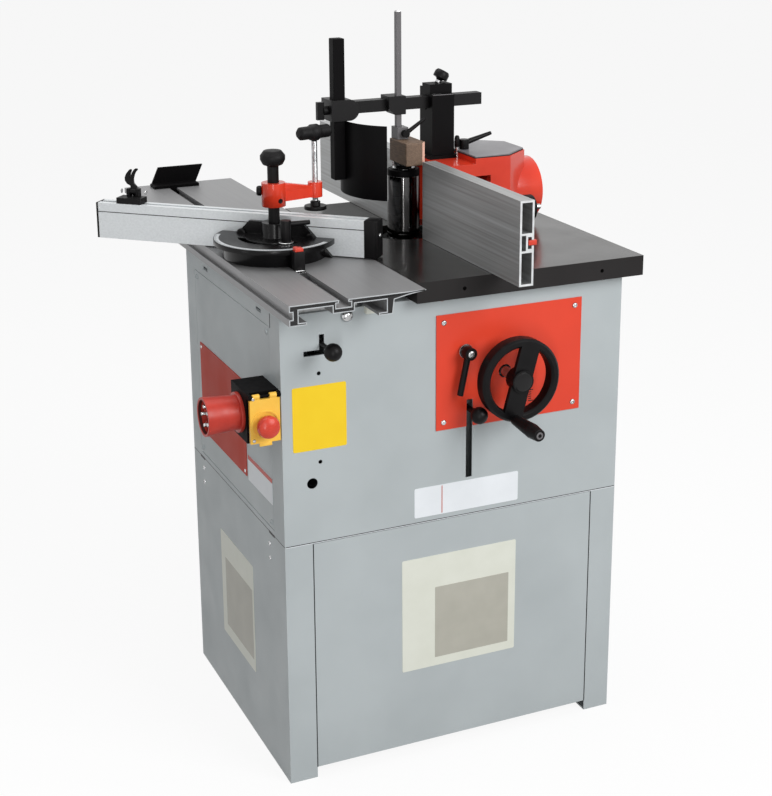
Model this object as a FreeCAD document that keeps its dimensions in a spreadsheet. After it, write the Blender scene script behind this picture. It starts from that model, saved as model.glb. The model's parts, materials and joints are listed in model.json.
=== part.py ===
# Spindle moulder with a sliding table: a parametric document, one object per piece, in millimetres.
# The origin is on the floor at the centre of the cabinet's footprint. +X runs along the handwheel's
# face, +Y away from it along the feed, +Z up.
import FreeCAD, Part
import os
import Sketcher

SIZES = {
    # cabinet
    "cab_w": 646, "cab_d": 512, "base_h": 452, "cab_h": 857, "sheet_t": 2, "top_t": 3, "leg_w": 51,
    "kick_h": 20, "seam": 1, "lip_w": 14, "flange_w": 25, "foot_t": 3, "anchor_r": 6.5, "anchor_in": 26,
    "anchor_back": 45, "side_top": 30, "side_low": 10, "top_open_x": -70, "top_open_w": 360,
    "top_open_d": 420, "slit_l": 26, "slit_h": 6, "slit_y1": -154, "slit_y2": 137,
    # holes in the front wall
    "peg_r": 3.5, "port_r": 9.5,
    # cast table, its ring and the spindle's axis
    "table_gap": 1.8, "table_over": 25.7, "table_y": -282, "table_d": 624, "table_t": 35.5, "table_rim": 16,
    "table_skin": 14, "core_half": 108, "spin_x": 42, "spin_y": 60, "ring_r": 80, "ring_bore": 62,
         "ring_t": 8,
    "ring_fit": 0.2, "hole_r": 67, "edge_x1": -2, "edge_x2": 265, "edge_r": 3.5, "edge_l": 14,
    # control panel and screws
    "panel_x": -42.5, "panel_w": 283, "panel_h": 207, "panel_t": 2, "screw_in": 14,
    "screw_r": 5, "screw_t": 2.5, "side_screw_in": 12, "bolt_x1": -37, "bolt_x2": 275, "bolt_y": -266,
    # switch box, flap, buttons and inlet
    "box_out": 56, "box_y": -244, "box_d": 77, "box_h": 87, "flap_gap": 6, "flap_t": 6,
    "flap_w": 52, "knuckle_r": 4.5, "knuckle_l": 12, "hinge_r": 2,
    "ear_t": 5, "run": 0.05, "gap": 0.3, "mush_r": 19.5, "mush_stem_r": 6,
    "mush_stand": 10, "mush_t": 18, "start_r": 7, "start_out": 3.5,
    "start_in": 8, "start_depth": 14, "inlet_y": -205, "inlet_l": 62, "inlet_root_r": 29, "inlet_r": 33,
    "inlet_wall": 4, "inlet_cup": 40, "inlet_flange_r": 34, "inlet_flange_t": 6, "prong_r": 3,
         "prong_l": 32,
    "prong_circle": 17, "prong_count": 5,
    # slide rail and sliding table
    "slide_w": 237.6, "slide_y": -320, "slide_l": 1000, "slot_in": 92.8, "slot_w": 16,
    "slot_neck": 5, "slot_deep": 13, "slot_wide": 26, "web_w": 38, "web_t": 8.5, "skin_t": 8.5,
    "slide_leg": 15.8, "hook_w": 14, "hook_t": 4.8, "slide_clear": 1.2, "groove_d": 6, "groove_z1": 11,
    "groove_z2": 23, "leg_right": 59.3, "leg_top": 56.3, "leg_root": 10.5, "lip_in": 31.3, "lip_t": 5.5,
    "edge_t": 1.5, "rail_l": 500, "rail_fit": 0.4, "rail_base_in": 22.4,
    # table lock lever in its angled slot
    "lock_y": -205, "lock_r": 4, "lock_ball_r": 15, "lock_out": 50,
    "lock_pin_r": 6, "lock_pin_top": 6, "lock_pin_low": 32, "lock_guide": 18, "lock_guide_h": 36,
         "lock_slot": 9,
    "lock_hole": 7,
    # quill, its bracket and the height screw
    "quill_r": 40, "quill_bore": 32, "bracket_r": 54,
    "bracket_flange_r": 98, "bracket_flange_t": 14, "plate_t": 12, "plate_x1": -66, "plate_x2": 118,
    "plate_y1": -72, "plate_y2": 122, "lead_x": 90, "lead_y": -10, "lead_r": 8,
    "lead_arm_t": 20, "lead_arm_w": 46, "collar_r": 13, "collar_t": 6,
    "bevel_r": 18, "bevel_small": 10, "bevel_gap": 0.5,
    # handwheel
    "wheel_x": 90, "wheel_y": -316, "rim_out": 74, "rim_in": 59, "rim_l": 28, "rim_edge": 4,
         "crank_at": 66, "hub_r": 20,
    "hub_l": 26, "hub_front": 8, "spoke_w": 36, "spoke_t": 8, "crank_angle": 15.3, "wheel_shaft_r": 9,
         "shaft_hole": 3,
    "shaft_lug": 24, "shaft_lug_y1": -62, "shaft_lug_y2": -42, "crank_pin_r": 4, "crank_stand": 12,
    "crank_l": 86, "crank_r1": 9, "crank_r2": 13, "crank_wall": 6,
    # height lock lever
    "hlock_x": 11, "hlock_r": 6, "hlock_hub_r": 11, "hlock_hub_l": 22, "hlock_stand": 4,
    "hlock_lever_l": 76, "hlock_lean": 11.8, "hlock_tip_r": 5.5, "hlock_lug": 22, "hlock_lug_y": -8,
         "hlock_in": 22,
    # belt lever
    "blever_x": 22, "blever_r": 5, "blever_ball_r": 15, "blever_out": 38, "blever_in": -20,
    "belt_slot_w": 12, "guide_w": 24, "guide_y1": -66,
    "guide_y2": -40, "guide_low": 11,
    # spindle
    "shaft_r": 15, "bearing_t": 16, "bearing_in": 5, "shoulder_r": 30,
    "shoulder_t": 8, "spacer_r": 30, "spacer_h": 108, "spacer_count": 6, "spacer_groove": 0.6,
    "nut_r": 22, "nut_t": 14, "fit": 0.05,
    # motor, pulleys and belt
    "motor_x": -135, "motor_r": 75, "motor_h": 198, "motor_plate_t": 10, "plate_rim": 82,
    "pivot_x": -40, "pivot_y": -45, "pivot_r": 8, "pivot_boss": 24, "pivot_head_r": 13, "pivot_head_t": 6,
    "push_w": 20, "push_t": 12, "push_gap": 2, "push_clear": 3, "cap_h": 34, "fin_count": 5, "fin_w": 6,
         "fin_d": 4,
    "pulley_h": 28, "motor_pulley_r": 48, "spindle_pulley_r": 38, "vee_d": 9, "vee_w1": 18,
    "vee_w2": 10, "motor_shaft_r": 12, "motor_shaft_in": 20, "belt_t": 7, "belt_h": 10,
    # mitre gauge, in its own frame turned about the pivot
    "pivot_my": -2, "mitre_angle": -42.5, "block_y1": -140, "block_y2": 30,
    "index_w": 16, "index_t": 15, "index_h": 32, "stud_r": 7.5, "stud_h": 22, "disc_r": 92, "disc_t": 24,
    "scale_r": 108, "scale_t": 9, "disc_lift": 0.8, "back_half": 105, "back_top_half": 52, "back_h": 56,
         "back_t": 8,
    "boss_r": 22, "boss_h": 59, "arc_r": 58, "arc_w": 13, "arc_from": 28, "mlock_r": 5, "mlock_hub_r": 9,
    "mlock_hub_h": 40, "mlock_arm_l": 44, "mlock_arm_r": 5, "mlock_arm_tip": 4, "fence_face": 15,
         "fence_t": 30,
    "fence_right": 182, "fence_left": 356, "fence_h": 66, "fence_lift": 2.5, "fence_wall": 3,
         "fence_mid": 34,
    "top_slot_w": 8, "top_slot_neck": 4, "top_slot_wide": 14, "top_slot_deep": 10, "end_cap_t": 4,
    # hold-down clamp
    "col_r": 10, "col_in": 22, "col_knob_r": 22, "col_knob_h": 29,
    "arm_angle": 13.1, "arm_l": 88, "arm_hub_r": 21, "arm_hub_h": 42, "arm_end_r": 13,
    "arm_end_h": 27, "arm_w": 14, "arm_web_h": 24, "screw_bar_r": 5,
    "tee_r": 11, "tee_h": 13.5, "tee_half": 34, "tee_bar_r": 9.5, "tee_end_r": 11.5, "tee_dome_r": 14.5,
    "foot_disc_r": 20, "foot_disc_t": 7, "foot_boss_r": 9, "foot_boss_h": 8,
    # flip stop
    "stop_x": -294, "stop_w": 48, "stop_h": 11, "stop_arm_w": 12, "stop_hinge_y": 40, "stop_hinge_up": 19,
    "stop_hub_r": 6, "stop_pin_r": 3, "stop_ear_t": 6, "stop_blade_t": 5, "stop_blade_low": 58,
         "stop_lever_h": 42, "stop_lever_t": 8,
    "stop_lean": -14,
    # edging shoe at the far end of the sliding table
    "shoe_w": 98, "shoe_y": 632, "shoe_d": 36, "shoe_base_t": 6, "shoe_h": 40, "shoe_lean": 18,
    "shoe_wall": 6, "tnut_fit": 0.4,
    # hood and dust port
    "hood_x1": 84, "hood_x2": 275, "hood_half": 83, "hood_cut_x": 53, "hood_cut_y": 44, "hood_lift": 0.3,
    "hood_h": 133, "hood_wall": 5, "hood_step_x": 150, "hood_step_h": 10, "cover_t": 4, "cover_in": 2,
    "duct_r": 60, "duct_wall": 4, "duct_x2": 305, "duct_in": 30, "duct_bead": 2, "duct_root": 3,
         "window_x": 145, "window_w": 36,
    "window_h": 13, "wing_l": 86, "wing_t": 9, "wing_h": 108,
    # fences
    "face_x": 50, "rail_fence_t": 26, "right_y1": -375, "right_y2": -6, "left_y1": 128,
    "left_y2": 500, "profile_wall": 3.5, "tee_neck": 10, "tee_wide": 20,
    "tee_deep": 11, "tee_lip": 4, "tee_fit": 0.4, "tee_len": 40, "tee_off": 25,
    # infeed carrier and adjust knob
    "carrier_y1": -130, "carrier_y2": -26, "arm_x2": 180, "adjust_y": -36, "adjust_r": 5,
    "adjust_arm": 16, "lug_x1": 205, "lug_x2": 220, "lug_half": 14, "knob_x": 243, "knob_t": 17,
         "knob_r": 24,
    "cone_l": 10, "cone_r": 12, "screw_end": 278, "screw_start": 150,
    # hood clamp lever
    "hood_lever_x": 166, "hood_lever_y": 58, "hood_hub_r": 9, "hood_hub_h": 18, "hood_lever_l": 58,
    "hood_lever_rise": 75, "hood_lever_r1": 5.5, "hood_lever_r2": 3.5,
    # guard post, bar and column
    "post_x1": 100, "post_x2": 145, "post_y1": 58, "post_y2": 112, "post_h": 111, "post_wall": 3,
         "post_fin": 19,
    "post_foot": 8, "post_foot_t": 6, "head_h": 18, "head_y1": 68, "head_y2": 102,
    "pknob_x": 118, "pknob_tilt": 30, "pknob_r": 14, "pknob_h": 15, "pknob_stem": 8, "pknob_screw_r": 5,
    "pknob_up": 12, "bar_s": 22, "bar_y": 85, "bar_x1": -70, "bar_x2": 210, "cross_x1": -104,
    "cross_x2": -50, "cross_y1": 48, "cross_y2": 98, "cross_h": 38, "colm_x": -86, "colm_y": 65,
    "slide_fit": 0.3, "wing_hub_r": 8, "wing_hub_l": 10, "wing_half": 16, "wing_w": 12,
    "wing_bar": 9, "wing_screw_r": 4, "guard_r": 116.8, "guard_t": 2.5,
    "guard_from": 140, "guard_span": 91,
    # pressure shoe
    "rod_s": 10, "rod_x": 36, "rod_y": 70, "rodblock_x1": 14, "rodblock_x2": 48,
    "rodblock_y1": 61, "rodblock_h": 34, "rodblock_cut": 12, "hold_x1": 28, "hold_x2": 50, "hold_y1": 55, "hold_y2": 83,
    "hold_h": 22, "wood_x1": 24, "wood_x2": 65, "wood_y1": 8, "wood_y2": 83, "wood_h": 42,
    "wood_cut": 9, "slever_x": 42, "slever_up": 11, "slever_r": 7, "slever_l": 9, "slever_stud": 4,
         "slever_in": 8,
    "slever_arm": 46, "slever_angle": 57, "slever_arm_r": 4.2, "slever_tip_r": 3,
}

# Heights over the table's top.
OVER_TABLE = {
    "col_knob_z": 159.5, "arm_hub_z": 88.5, "arm_end_z": 93.5, "arm_web_z": 91.5, "screw_low": 75.5,
    "screw_top": 199.5, "tee_z": 195.5, "foot_disc_z": 70.5, "duct_z": 62.5, "window_z": 97.5,
    "fence_top": 143.1, "web_z1": 57.9, "web_z2": 87.1, "adjust_z": 45.5, "head_low": 252.5, "bar_z": 237.5,
    "colm_z1": 110.5, "colm_z2": 365.5, "guard_z1": 82.5, "guard_z2": 217.5, "rod_top": 406.5,
    "wood_z1": 133.5, "shaft_top": 127.5, "edge_z": -19, "shoulder_z": -6.5, "quill_top": -7.5,
}

# Depths under the cabinet's top.
UNDER_TOP = {
    "slit_z": 14, "peg_z1": 105, "peg_z2": 261, "port_z": 297.5, "panel_z": 240, "box_z": 213,
    "flap_z": 211, "hinge_z": 131, "mush_z": 179, "start_z": 153, "inlet_z": 170, "lock_z": 55,
    "lock_leg_z": 69, "lock_leg_top": 43, "quill_z": 202, "bracket_z": 167, "lead_low": 317, "lead_top": 45,
    "lead_arm_z": 77, "wheel_z": 149, "hlock_z": 101, "blever_z": 209, "belt_slot_z1": 336,
    "belt_slot_z2": 191, "shaft_z": 267, "motor_plate_z": 284, "pulley_z": 259,
}

# Distances to the right of the cabinet's left wall.
FROM_LEFT = {
    "slide_x": -5.8, "lock_x": 73, "lock_leg_x": 45.5, "peg_x": 67, "port_x": 52, "start_x": -41,
    "pivot_mx": 87, "shoe_x": 47,
}


class Dim:
    """A length or angle: its value now, and the sheet expression that keeps it tied to the sizes."""

    def __init__(self, text, value):
        self.text = text
        self.value = value

    def __add__(self, other):
        other = dim(other)
        return Dim(f"({self.text} + {other.text})", self.value + other.value)

    def __sub__(self, other):
        other = dim(other)
        return Dim(f"({self.text} - {other.text})", self.value - other.value)

    def __mul__(self, other):
        other = dim(other)
        return Dim(f"({self.text} * {other.text})", self.value * other.value)

    def __truediv__(self, other):
        other = dim(other)
        return Dim(f"({self.text} / {other.text})", self.value / other.value)

    def __neg__(self):
        return Dim(f"(-1 * {self.text})", -self.value)

    __radd__ = __add__
    __rmul__ = __mul__

    def __rsub__(self, other):
        return dim(other) - self


def dim(value):
    """A plain number as a Dim."""
    return value if isinstance(value, Dim) else Dim(str(value), value)


class Sheet:
    """The spreadsheet of driving sizes, one aliased cell each, read as attributes."""

    def __init__(self, document):
        self.cells = document.addObject("Spreadsheet::Sheet", "Sizes")
        self.rows = 0
        self.enter(SIZES)
        table_top = self.cab_h + self.table_t
        self.enter(OVER_TABLE, lambda size: table_top + size)
        self.enter(UNDER_TOP, lambda size: self.cab_h - size)
        self.enter(FROM_LEFT, lambda size: size - self.cab_w / 2)

    def enter(self, sizes, measured=lambda size: size):
        """Write sizes into cells, and keep each one as it is measured from its datum."""
        for name, value in sizes.items():
            self.rows += 1
            self.cells.set(f"A{self.rows}", name)
            self.cells.set(f"B{self.rows}", str(value))
            self.cells.setAlias(f"B{self.rows}", name)
            setattr(self, name, measured(Dim(f"Sizes.{name}", value)))


doc = FreeCAD.newDocument("spindle_moulder")
d = Sheet(doc)
doc.recompute()
PIECES = {}
MARGIN = 1     # how far a cutting tool reaches past the face it opens
TURN = {"x": (FreeCAD.Vector(0, 1, 0), 90), "y": (FreeCAD.Vector(1, 0, 0), -90),
        "z": (FreeCAD.Vector(0, 0, 1), 0)}
PLANE = {"xy": "XY_Plane", "xz": "XZ_Plane", "yz": "YZ_Plane"}


def bind(thing, path, value):
    """Tie one property of a document object to an expression."""
    thing.setExpression(path, dim(value).text)


def place(thing, x, y, z):
    """Tie a document object's position to three sizes."""
    for letter, value in zip("xyz", (x, y, z)):
        bind(thing, f"Placement.Base.{letter}", value)
    return thing


def turn(thing, angle, x=0, y=0, z=0, axis=(0, 0, 1)):
    """Turn a document object about an axis through its own origin, and put that origin at a place."""
    thing.Placement = FreeCAD.Placement(FreeCAD.Vector(), FreeCAD.Rotation(FreeCAD.Vector(*axis), 1))
    bind(thing, "Placement.Rotation.Angle", angle)
    return place(thing, x, y, z)


def box(x, y, z):
    """A block between two values on each axis."""
    solid = doc.addObject("Part::Box", "block")
    for path, (low, high) in zip(("Length", "Width", "Height"), (x, y, z)):
        bind(solid, path, dim(high) - low)
    return place(solid, x[0], y[0], z[0])


def along(solid, axis, a, b, low):
    """Point a round solid's own Z axis along a machine axis, centred on the other two coordinates."""
    direction, angle = TURN[axis]
    solid.Placement = FreeCAD.Placement(FreeCAD.Vector(), FreeCAD.Rotation(direction, angle))
    where = {"x": (low, a, b), "y": (a, low, b), "z": (a, b, low)}[axis]
    return place(solid, *where)


def rod(axis, a, b, low, high, radius):
    """A round bar along an axis."""
    solid = doc.addObject("Part::Cylinder", "rod")
    bind(solid, "Radius", radius)
    bind(solid, "Height", dim(high) - low)
    return along(solid, axis, a, b, low)


def cone(axis, a, b, low, high, radius_low, radius_high):
    """A tapered round bar along an axis."""
    solid = doc.addObject("Part::Cone", "cone")
    bind(solid, "Radius1", radius_low)
    bind(solid, "Radius2", radius_high)
    bind(solid, "Height", dim(high) - low)
    return along(solid, axis, a, b, low)


def spar(x, y, z, angle, axis, length, radius_low, radius_high):
    """A tapered round arm from a point, leaning from upright by an angle about an axis."""
    solid = doc.addObject("Part::Cone", "arm")
    bind(solid, "Radius1", radius_low)
    bind(solid, "Radius2", radius_high)
    bind(solid, "Height", length)
    return turn(solid, angle, x, y, z, axis)


def ball(x, y, z, radius):
    """A ball."""
    solid = doc.addObject("Part::Sphere", "ball")
    bind(solid, "Radius", radius)
    return place(solid, x, y, z)


def fuse(*solids):
    """One solid from several that overlap or share faces."""
    whole = doc.addObject("Part::MultiFuse", "joined")
    whole.Shapes = list(solids)
    whole.Refine = True
    return whole


def cut(base, *tools):
    """A solid with one or more tools taken away."""
    remains = doc.addObject("Part::Cut", "cut")
    remains.Base = base
    remains.Tool = tools[0] if len(tools) == 1 else fuse(*tools)
    return remains


def group(*solids):
    """Like solids that share one node."""
    together = doc.addObject("Part::Compound", "group")
    together.Links = list(solids)
    return together


def outline(body, plane, points, offset):
    """A closed sketch of straight runs whose corners are tied to the sizes."""
    sketch = body.newObject("Sketcher::SketchObject", "outline")
    role = PLANE[plane]
    support = [feature for feature in body.Origin.OriginFeatures if feature.Role == role]
    sketch.AttachmentSupport = [(support[0], "")]
    sketch.MapMode = "FlatFace"
    sketch.setExpression("AttachmentOffset.Base.z", dim(offset).text)
    corners = [FreeCAD.Vector(dim(a).value, dim(b).value, 0) for a, b in points]
    count = len(corners)
    for index in range(count):
        sketch.addGeometry(Part.LineSegment(corners[index], corners[(index + 1) % count]), False)
    for index in range(count):
        sketch.addConstraint(Sketcher.Constraint("Coincident", index, 2, (index + 1) % count, 1))
    for index, (a, b) in enumerate(points):
        for kind, value in (("DistanceX", dim(a)), ("DistanceY", dim(b))):
            number = sketch.addConstraint(Sketcher.Constraint(kind, -1, 1, index, 1, value.value))
            sketch.setExpression(f"Constraints[{number}]", value.text)
    return sketch


def prism(plane, points, low, high):
    """A straight-sided outline padded between two values on the axis square to its plane."""
    body = doc.addObject("PartDesign::Body", "prism")
    backwards = plane == "xz"
    sketch = outline(body, plane, points, -dim(high) if backwards else low)
    pad = body.newObject("PartDesign::Pad", "pad")
    pad.Profile = sketch
    bind(pad, "Length", dim(high) - low)
    return body


def turned(points, x=0, y=0, z=0, axis="z"):
    """A profile of radius and height pairs turned about an axis through a place."""
    body = doc.addObject("PartDesign::Body", "turned")
    sketch = outline(body, "xz", points, 0)
    spin = body.newObject("PartDesign::Revolution", "revolution")
    spin.Profile = sketch
    spin.ReferenceAxis = (sketch, ["V_Axis"])
    spin.Angle = 360
    direction, angle = TURN[axis]
    body.Placement = FreeCAD.Placement(FreeCAD.Vector(), FreeCAD.Rotation(direction, angle))
    return place(body, x, y, z)


def piece(name, solid):
    """Give a finished solid its name."""
    solid.Label = name
    PIECES[name] = solid
    return solid


half_w = d.cab_w / 2
half_d = d.cab_d / 2
front = -half_d
table_top = d.cab_h + d.table_t
slot_x = d.slide_x + d.slot_in
hood_y = d.spin_y + MARGIN
hood_low = table_top + d.hood_lift


def cabinet():
    """The sheet-metal base, its front panel, the upper cabinet and its removable side panel."""
    t = d.sheet_t
    door_half = half_w - d.leg_w
    base = cut(box((-half_w, half_w), (front, half_d), (0, d.base_h)),
               box((t - half_w, half_w - t), (front + t, half_d - t), (d.foot_t, d.base_h - t)),
               box((-door_half, door_half), (front - MARGIN, half_d - d.leg_w),
                   (-MARGIN, d.foot_t + MARGIN)),
               box((d.flange_w - half_w, half_w - d.flange_w), (front + d.flange_w, half_d - d.flange_w),
                   (d.base_h - t - MARGIN, d.base_h + MARGIN)),
               box((-door_half, door_half), (front - MARGIN, front + t + MARGIN), (-MARGIN, d.base_h - t)))
    lips = [box((side - d.lip_w, side + d.lip_w), (front + t, front + 2 * t), (d.kick_h, d.base_h - t))
            for side in (-door_half, door_half)]
    anchors = [rod("z", sx * (half_w - d.anchor_in), sy * (half_d - d.anchor_back), -MARGIN,
                   d.foot_t + MARGIN,
                   d.anchor_r) for sx in (-1, 1) for sy in (-1, 1)]
    piece("base_cabinet", cut(fuse(base, *lips), *anchors))
    piece("base_front_panel", box((d.seam - door_half, door_half - d.seam), (front, front + t),
                                  (d.kick_h, d.base_h - t - d.seam)))

    side_half = half_d - d.leg_w
    side_z = (d.base_h + d.side_low, d.cab_h - d.side_top)
    shell = cut(box((-half_w, half_w), (front, half_d), (d.base_h, d.cab_h)),
                box((t - half_w, half_w - t), (front + t, half_d - t), (d.base_h + t, d.cab_h - d.top_t)),
                box((d.flange_w - half_w, half_w - d.flange_w), (front + d.flange_w, half_d - d.flange_w),
                    (d.base_h - MARGIN, d.base_h + t + MARGIN)),
                box((d.top_open_x, d.top_open_x + d.top_open_w), (-d.top_open_d / 2, d.top_open_d / 2),
                    (d.cab_h - d.top_t - MARGIN, d.cab_h + MARGIN)),
                box((-half_w - MARGIN, t - half_w + MARGIN), (-side_half, side_half), side_z))
    frame = cut(box((t - half_w, 2 * t - half_w), (-side_half - d.lip_w, side_half + d.lip_w),
                    (side_z[0] - d.lip_w / 2, side_z[1] + d.lip_w)),
                box((t - half_w - MARGIN, 2 * t - half_w + MARGIN),
                    (d.lip_w - side_half, side_half - d.lip_w),
                    (side_z[0] + d.lip_w, side_z[1] - d.lip_w)))
    guide = box((d.lock_x - d.lock_guide, d.lock_x + d.lock_guide),
                (d.lock_y - d.lock_guide, d.lock_y + d.lock_guide),
                (d.cab_h - d.top_t - d.lock_guide_h, d.cab_h - d.top_t))
    wall = (front - MARGIN, front + t + MARGIN)
    half_slot = d.lock_slot / 2
    holes = [rod("y", d.wheel_x, d.wheel_z, *wall, d.wheel_shaft_r + d.shaft_hole),
             rod("y", d.hlock_x, d.hlock_z, *wall, d.hlock_r + d.shaft_hole),
             rod("y", d.peg_x, d.peg_z1, *wall, d.peg_r),
             rod("y", d.peg_x, d.peg_z2, *wall, d.peg_r),
             rod("y", d.port_x, d.port_z, *wall, d.port_r),
             box((d.blever_x - d.belt_slot_w / 2, d.blever_x + d.belt_slot_w / 2), wall,
                 (d.belt_slot_z1, d.belt_slot_z2)),
             box((d.lock_x - half_slot, d.lock_x + half_slot), wall,
                 (d.lock_leg_z - half_slot, d.lock_leg_top + half_slot)),
             box((d.lock_leg_x - half_slot, d.lock_x), wall,
                 (d.lock_leg_z - half_slot, d.lock_leg_z + half_slot)),
             rod("z", d.lock_x, d.lock_y, d.cab_h - d.top_t - d.lock_guide_h - MARGIN, d.cab_h - d.top_t,
                 d.lock_pin_r + d.run),
             rod("z", d.lock_x, d.lock_y, d.cab_h - d.top_t, d.cab_h + MARGIN, d.lock_hole)]
    holes += [box((-half_w - MARGIN, t - half_w + MARGIN), (y - d.slit_l / 2, y + d.slit_l / 2),
                  (d.slit_z - d.slit_h / 2, d.slit_z + d.slit_h / 2)) for y in (d.slit_y1, d.slit_y2)]
    piece("upper_cabinet", cut(fuse(shell, frame, guide), *holes))
    piece("left_side_panel", box((-half_w, t - half_w), (d.seam - side_half, side_half - d.seam),
                                 (side_z[0] + d.seam, side_z[1] - d.seam)))


def table():
    """The cast table, ribbed under its edge, and the ring around the spindle."""
    x = (d.slide_x + d.slide_w + d.table_gap, half_w + d.table_over)
    y = (d.table_y, d.table_y + d.table_d)
    hollow_z = (d.cab_h - MARGIN, table_top - d.table_skin)
    hollow = cut(box((x[0] + d.table_rim, x[1] - d.table_rim), (y[0] + d.table_rim, y[1] - d.table_rim),
                     hollow_z),
                 box((d.spin_x - d.core_half, d.spin_x + d.core_half),
                     (d.spin_y - d.core_half, d.spin_y + d.core_half),
                     (hollow_z[0] - MARGIN, hollow_z[1] + MARGIN)))
    edge_holes = [rod("y", hole_x, d.edge_z, y[0] - MARGIN, y[0] + d.edge_l, d.edge_r)
                  for hole_x in (d.edge_x1, d.edge_x2)]
    piece("cast_table", cut(box(x, y, (d.cab_h, table_top)), hollow,
                            rod("z", d.spin_x, d.spin_y, table_top - d.ring_t, table_top + MARGIN,
                                d.ring_r + d.ring_fit),
                            rod("z", d.spin_x, d.spin_y, d.cab_h - MARGIN, table_top, d.hole_r),
                            *edge_holes))
    piece("table_ring", cut(rod("z", d.spin_x, d.spin_y, table_top - d.ring_t, table_top, d.ring_r),
                            rod("z", d.spin_x, d.spin_y, table_top - d.ring_t - MARGIN, table_top + MARGIN,
                                d.ring_bore)))


def control_panel():
    """The red plate behind the handwheel, and the screws that show on the cabinet."""
    x = (d.panel_x, d.panel_x + d.panel_w)
    z = (d.panel_z, d.panel_z + d.panel_h)
    through = (front - d.panel_t - MARGIN, front + MARGIN)
    piece("control_panel", cut(box(x, (front - d.panel_t, front), z),
                               rod("y", d.wheel_x, d.wheel_z, *through, d.wheel_shaft_r + d.shaft_hole),
                               rod("y", d.hlock_x, d.hlock_z, *through, d.hlock_r + d.shaft_hole),
                               box((d.blever_x - d.belt_slot_w / 2, d.blever_x + d.belt_slot_w / 2),
                                   through,
                                   (d.panel_z - MARGIN, d.belt_slot_z2))))
    head_y = (front - d.panel_t - d.screw_t, front - d.panel_t)
    heads = [rod("y", sx, sz, *head_y, d.screw_r)
             for sx in (x[0] + d.screw_in, x[1] - d.screw_in) for sz in (z[0] + d.screw_in,
                                                                         z[1] - d.screw_in)]
    side_y = half_d - d.leg_w - d.side_screw_in
    heads += [rod("x", sy, sz, -half_w - d.screw_t, -half_w, d.screw_r)
              for sy in (-side_y, side_y)
              for sz in (d.base_h + d.side_low + d.side_screw_in, d.cab_h - d.side_top - d.side_screw_in)]
    heads += [rod("z", bx, d.bolt_y, d.cab_h - d.screw_t * 2, d.cab_h, d.screw_r) for bx in (d.bolt_x1,
                                                                                             d.bolt_x2)]
    piece("panel_screws", group(*heads))


def switch():
    """The switch box with its hinge pin, the flap over it, the mushroom, the start button and the inlet."""
    x = (-half_w - d.box_out, -half_w)
    face = d.box_y
    hinge_y = face - d.flap_gap - d.flap_t / 2
    mid_x = -half_w - d.box_out / 2
    ears = []
    for low in (x[0], x[1] - d.ear_t):
        ears.append(rod("x", hinge_y, d.hinge_z, low, low + d.ear_t, d.knuckle_r))
        ears.append(box((low, low + d.ear_t), (hinge_y, face),
                        (d.hinge_z - d.knuckle_r, d.hinge_z + d.knuckle_r)))
    pin = rod("x", hinge_y, d.hinge_z, x[0], x[1], d.hinge_r)
    well = rod("y", d.start_x, d.start_z, face - MARGIN, face + d.start_depth, d.start_r + d.gap)
    piece("switch_box", fuse(cut(box(x, (face, face + d.box_d), (d.box_z, d.box_z + d.box_h)), well),
                             *ears, pin))

    flap_y = (face - d.flap_gap - d.flap_t, face - d.flap_gap)
    flap_x = (mid_x - d.flap_w / 2, mid_x + d.flap_w / 2)
    leaf_x = (flap_x[0] + d.ear_t, flap_x[1] - d.ear_t)
    leaf = box(flap_x, flap_y, (d.flap_z, d.hinge_z - d.knuckle_r - d.gap))
    knuckles = []
    for low in (leaf_x[0] + d.gap, leaf_x[1] - d.knuckle_l - d.gap):
        knuckles.append(rod("x", hinge_y, d.hinge_z, low, low + d.knuckle_l, d.knuckle_r))
        knuckles.append(box((low, low + d.knuckle_l), flap_y, (d.hinge_z - 2 * d.knuckle_r, d.hinge_z)))
    piece("stop_flap", cut(fuse(leaf, *knuckles),
                           rod("x", hinge_y, d.hinge_z, x[0], x[1], d.hinge_r + d.run),
                           rod("y", mid_x, d.mush_z, flap_y[0] - MARGIN, flap_y[1] + MARGIN,
                               d.mush_stem_r + d.run)))
    head_back = flap_y[0] - d.mush_stand
    stem_l = d.mush_stand + d.flap_t
    rim = d.mush_t / 3
    piece("stop_mushroom", turned([(0, 0), (d.mush_stem_r, 0), (d.mush_stem_r, -stem_l),
                                   (d.mush_r * 0.95, -stem_l),
                                   (d.mush_r, -stem_l - rim), (d.mush_r * 0.9, -stem_l - rim * 2),
                                   (d.mush_r * 0.55, -stem_l - d.mush_t * 0.9), (0, -stem_l - d.mush_t)],
                                  mid_x, head_back + stem_l, d.mush_z, "y"))
    piece("start_button", rod("y", d.start_x, d.start_z, face - d.start_out, face + d.start_in, d.start_r))

    end = d.inlet_l
    cup = d.inlet_l - d.inlet_cup
    shell = turned([(0, 0), (d.inlet_flange_r, 0), (d.inlet_flange_r, d.inlet_flange_t),
                    (d.inlet_root_r, d.inlet_flange_t), (d.inlet_r, end), (d.inlet_r - d.inlet_wall, end),
                    (d.inlet_root_r - d.inlet_wall, cup), (0, cup)])
    prongs = []
    for number in range(SIZES["prong_count"]):
        prong = doc.addObject("Part::Cylinder", "prong")
        bind(prong, "Radius", d.prong_r)
        bind(prong, "Height", d.prong_l + MARGIN)
        angle = f"(360 / Sizes.prong_count * {number})"
        prong.setExpression("Placement.Base.x", f"Sizes.prong_circle * cos({angle} * 1 deg)")
        prong.setExpression("Placement.Base.y", f"Sizes.prong_circle * sin({angle} * 1 deg)")
        bind(prong, "Placement.Base.z", cup - MARGIN)
        prongs.append(prong)
    inlet = fuse(shell, *prongs)
    turn(inlet, -90, x[0], d.inlet_y, d.inlet_z, (0, 1, 0))
    piece("power_inlet", inlet)


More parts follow.
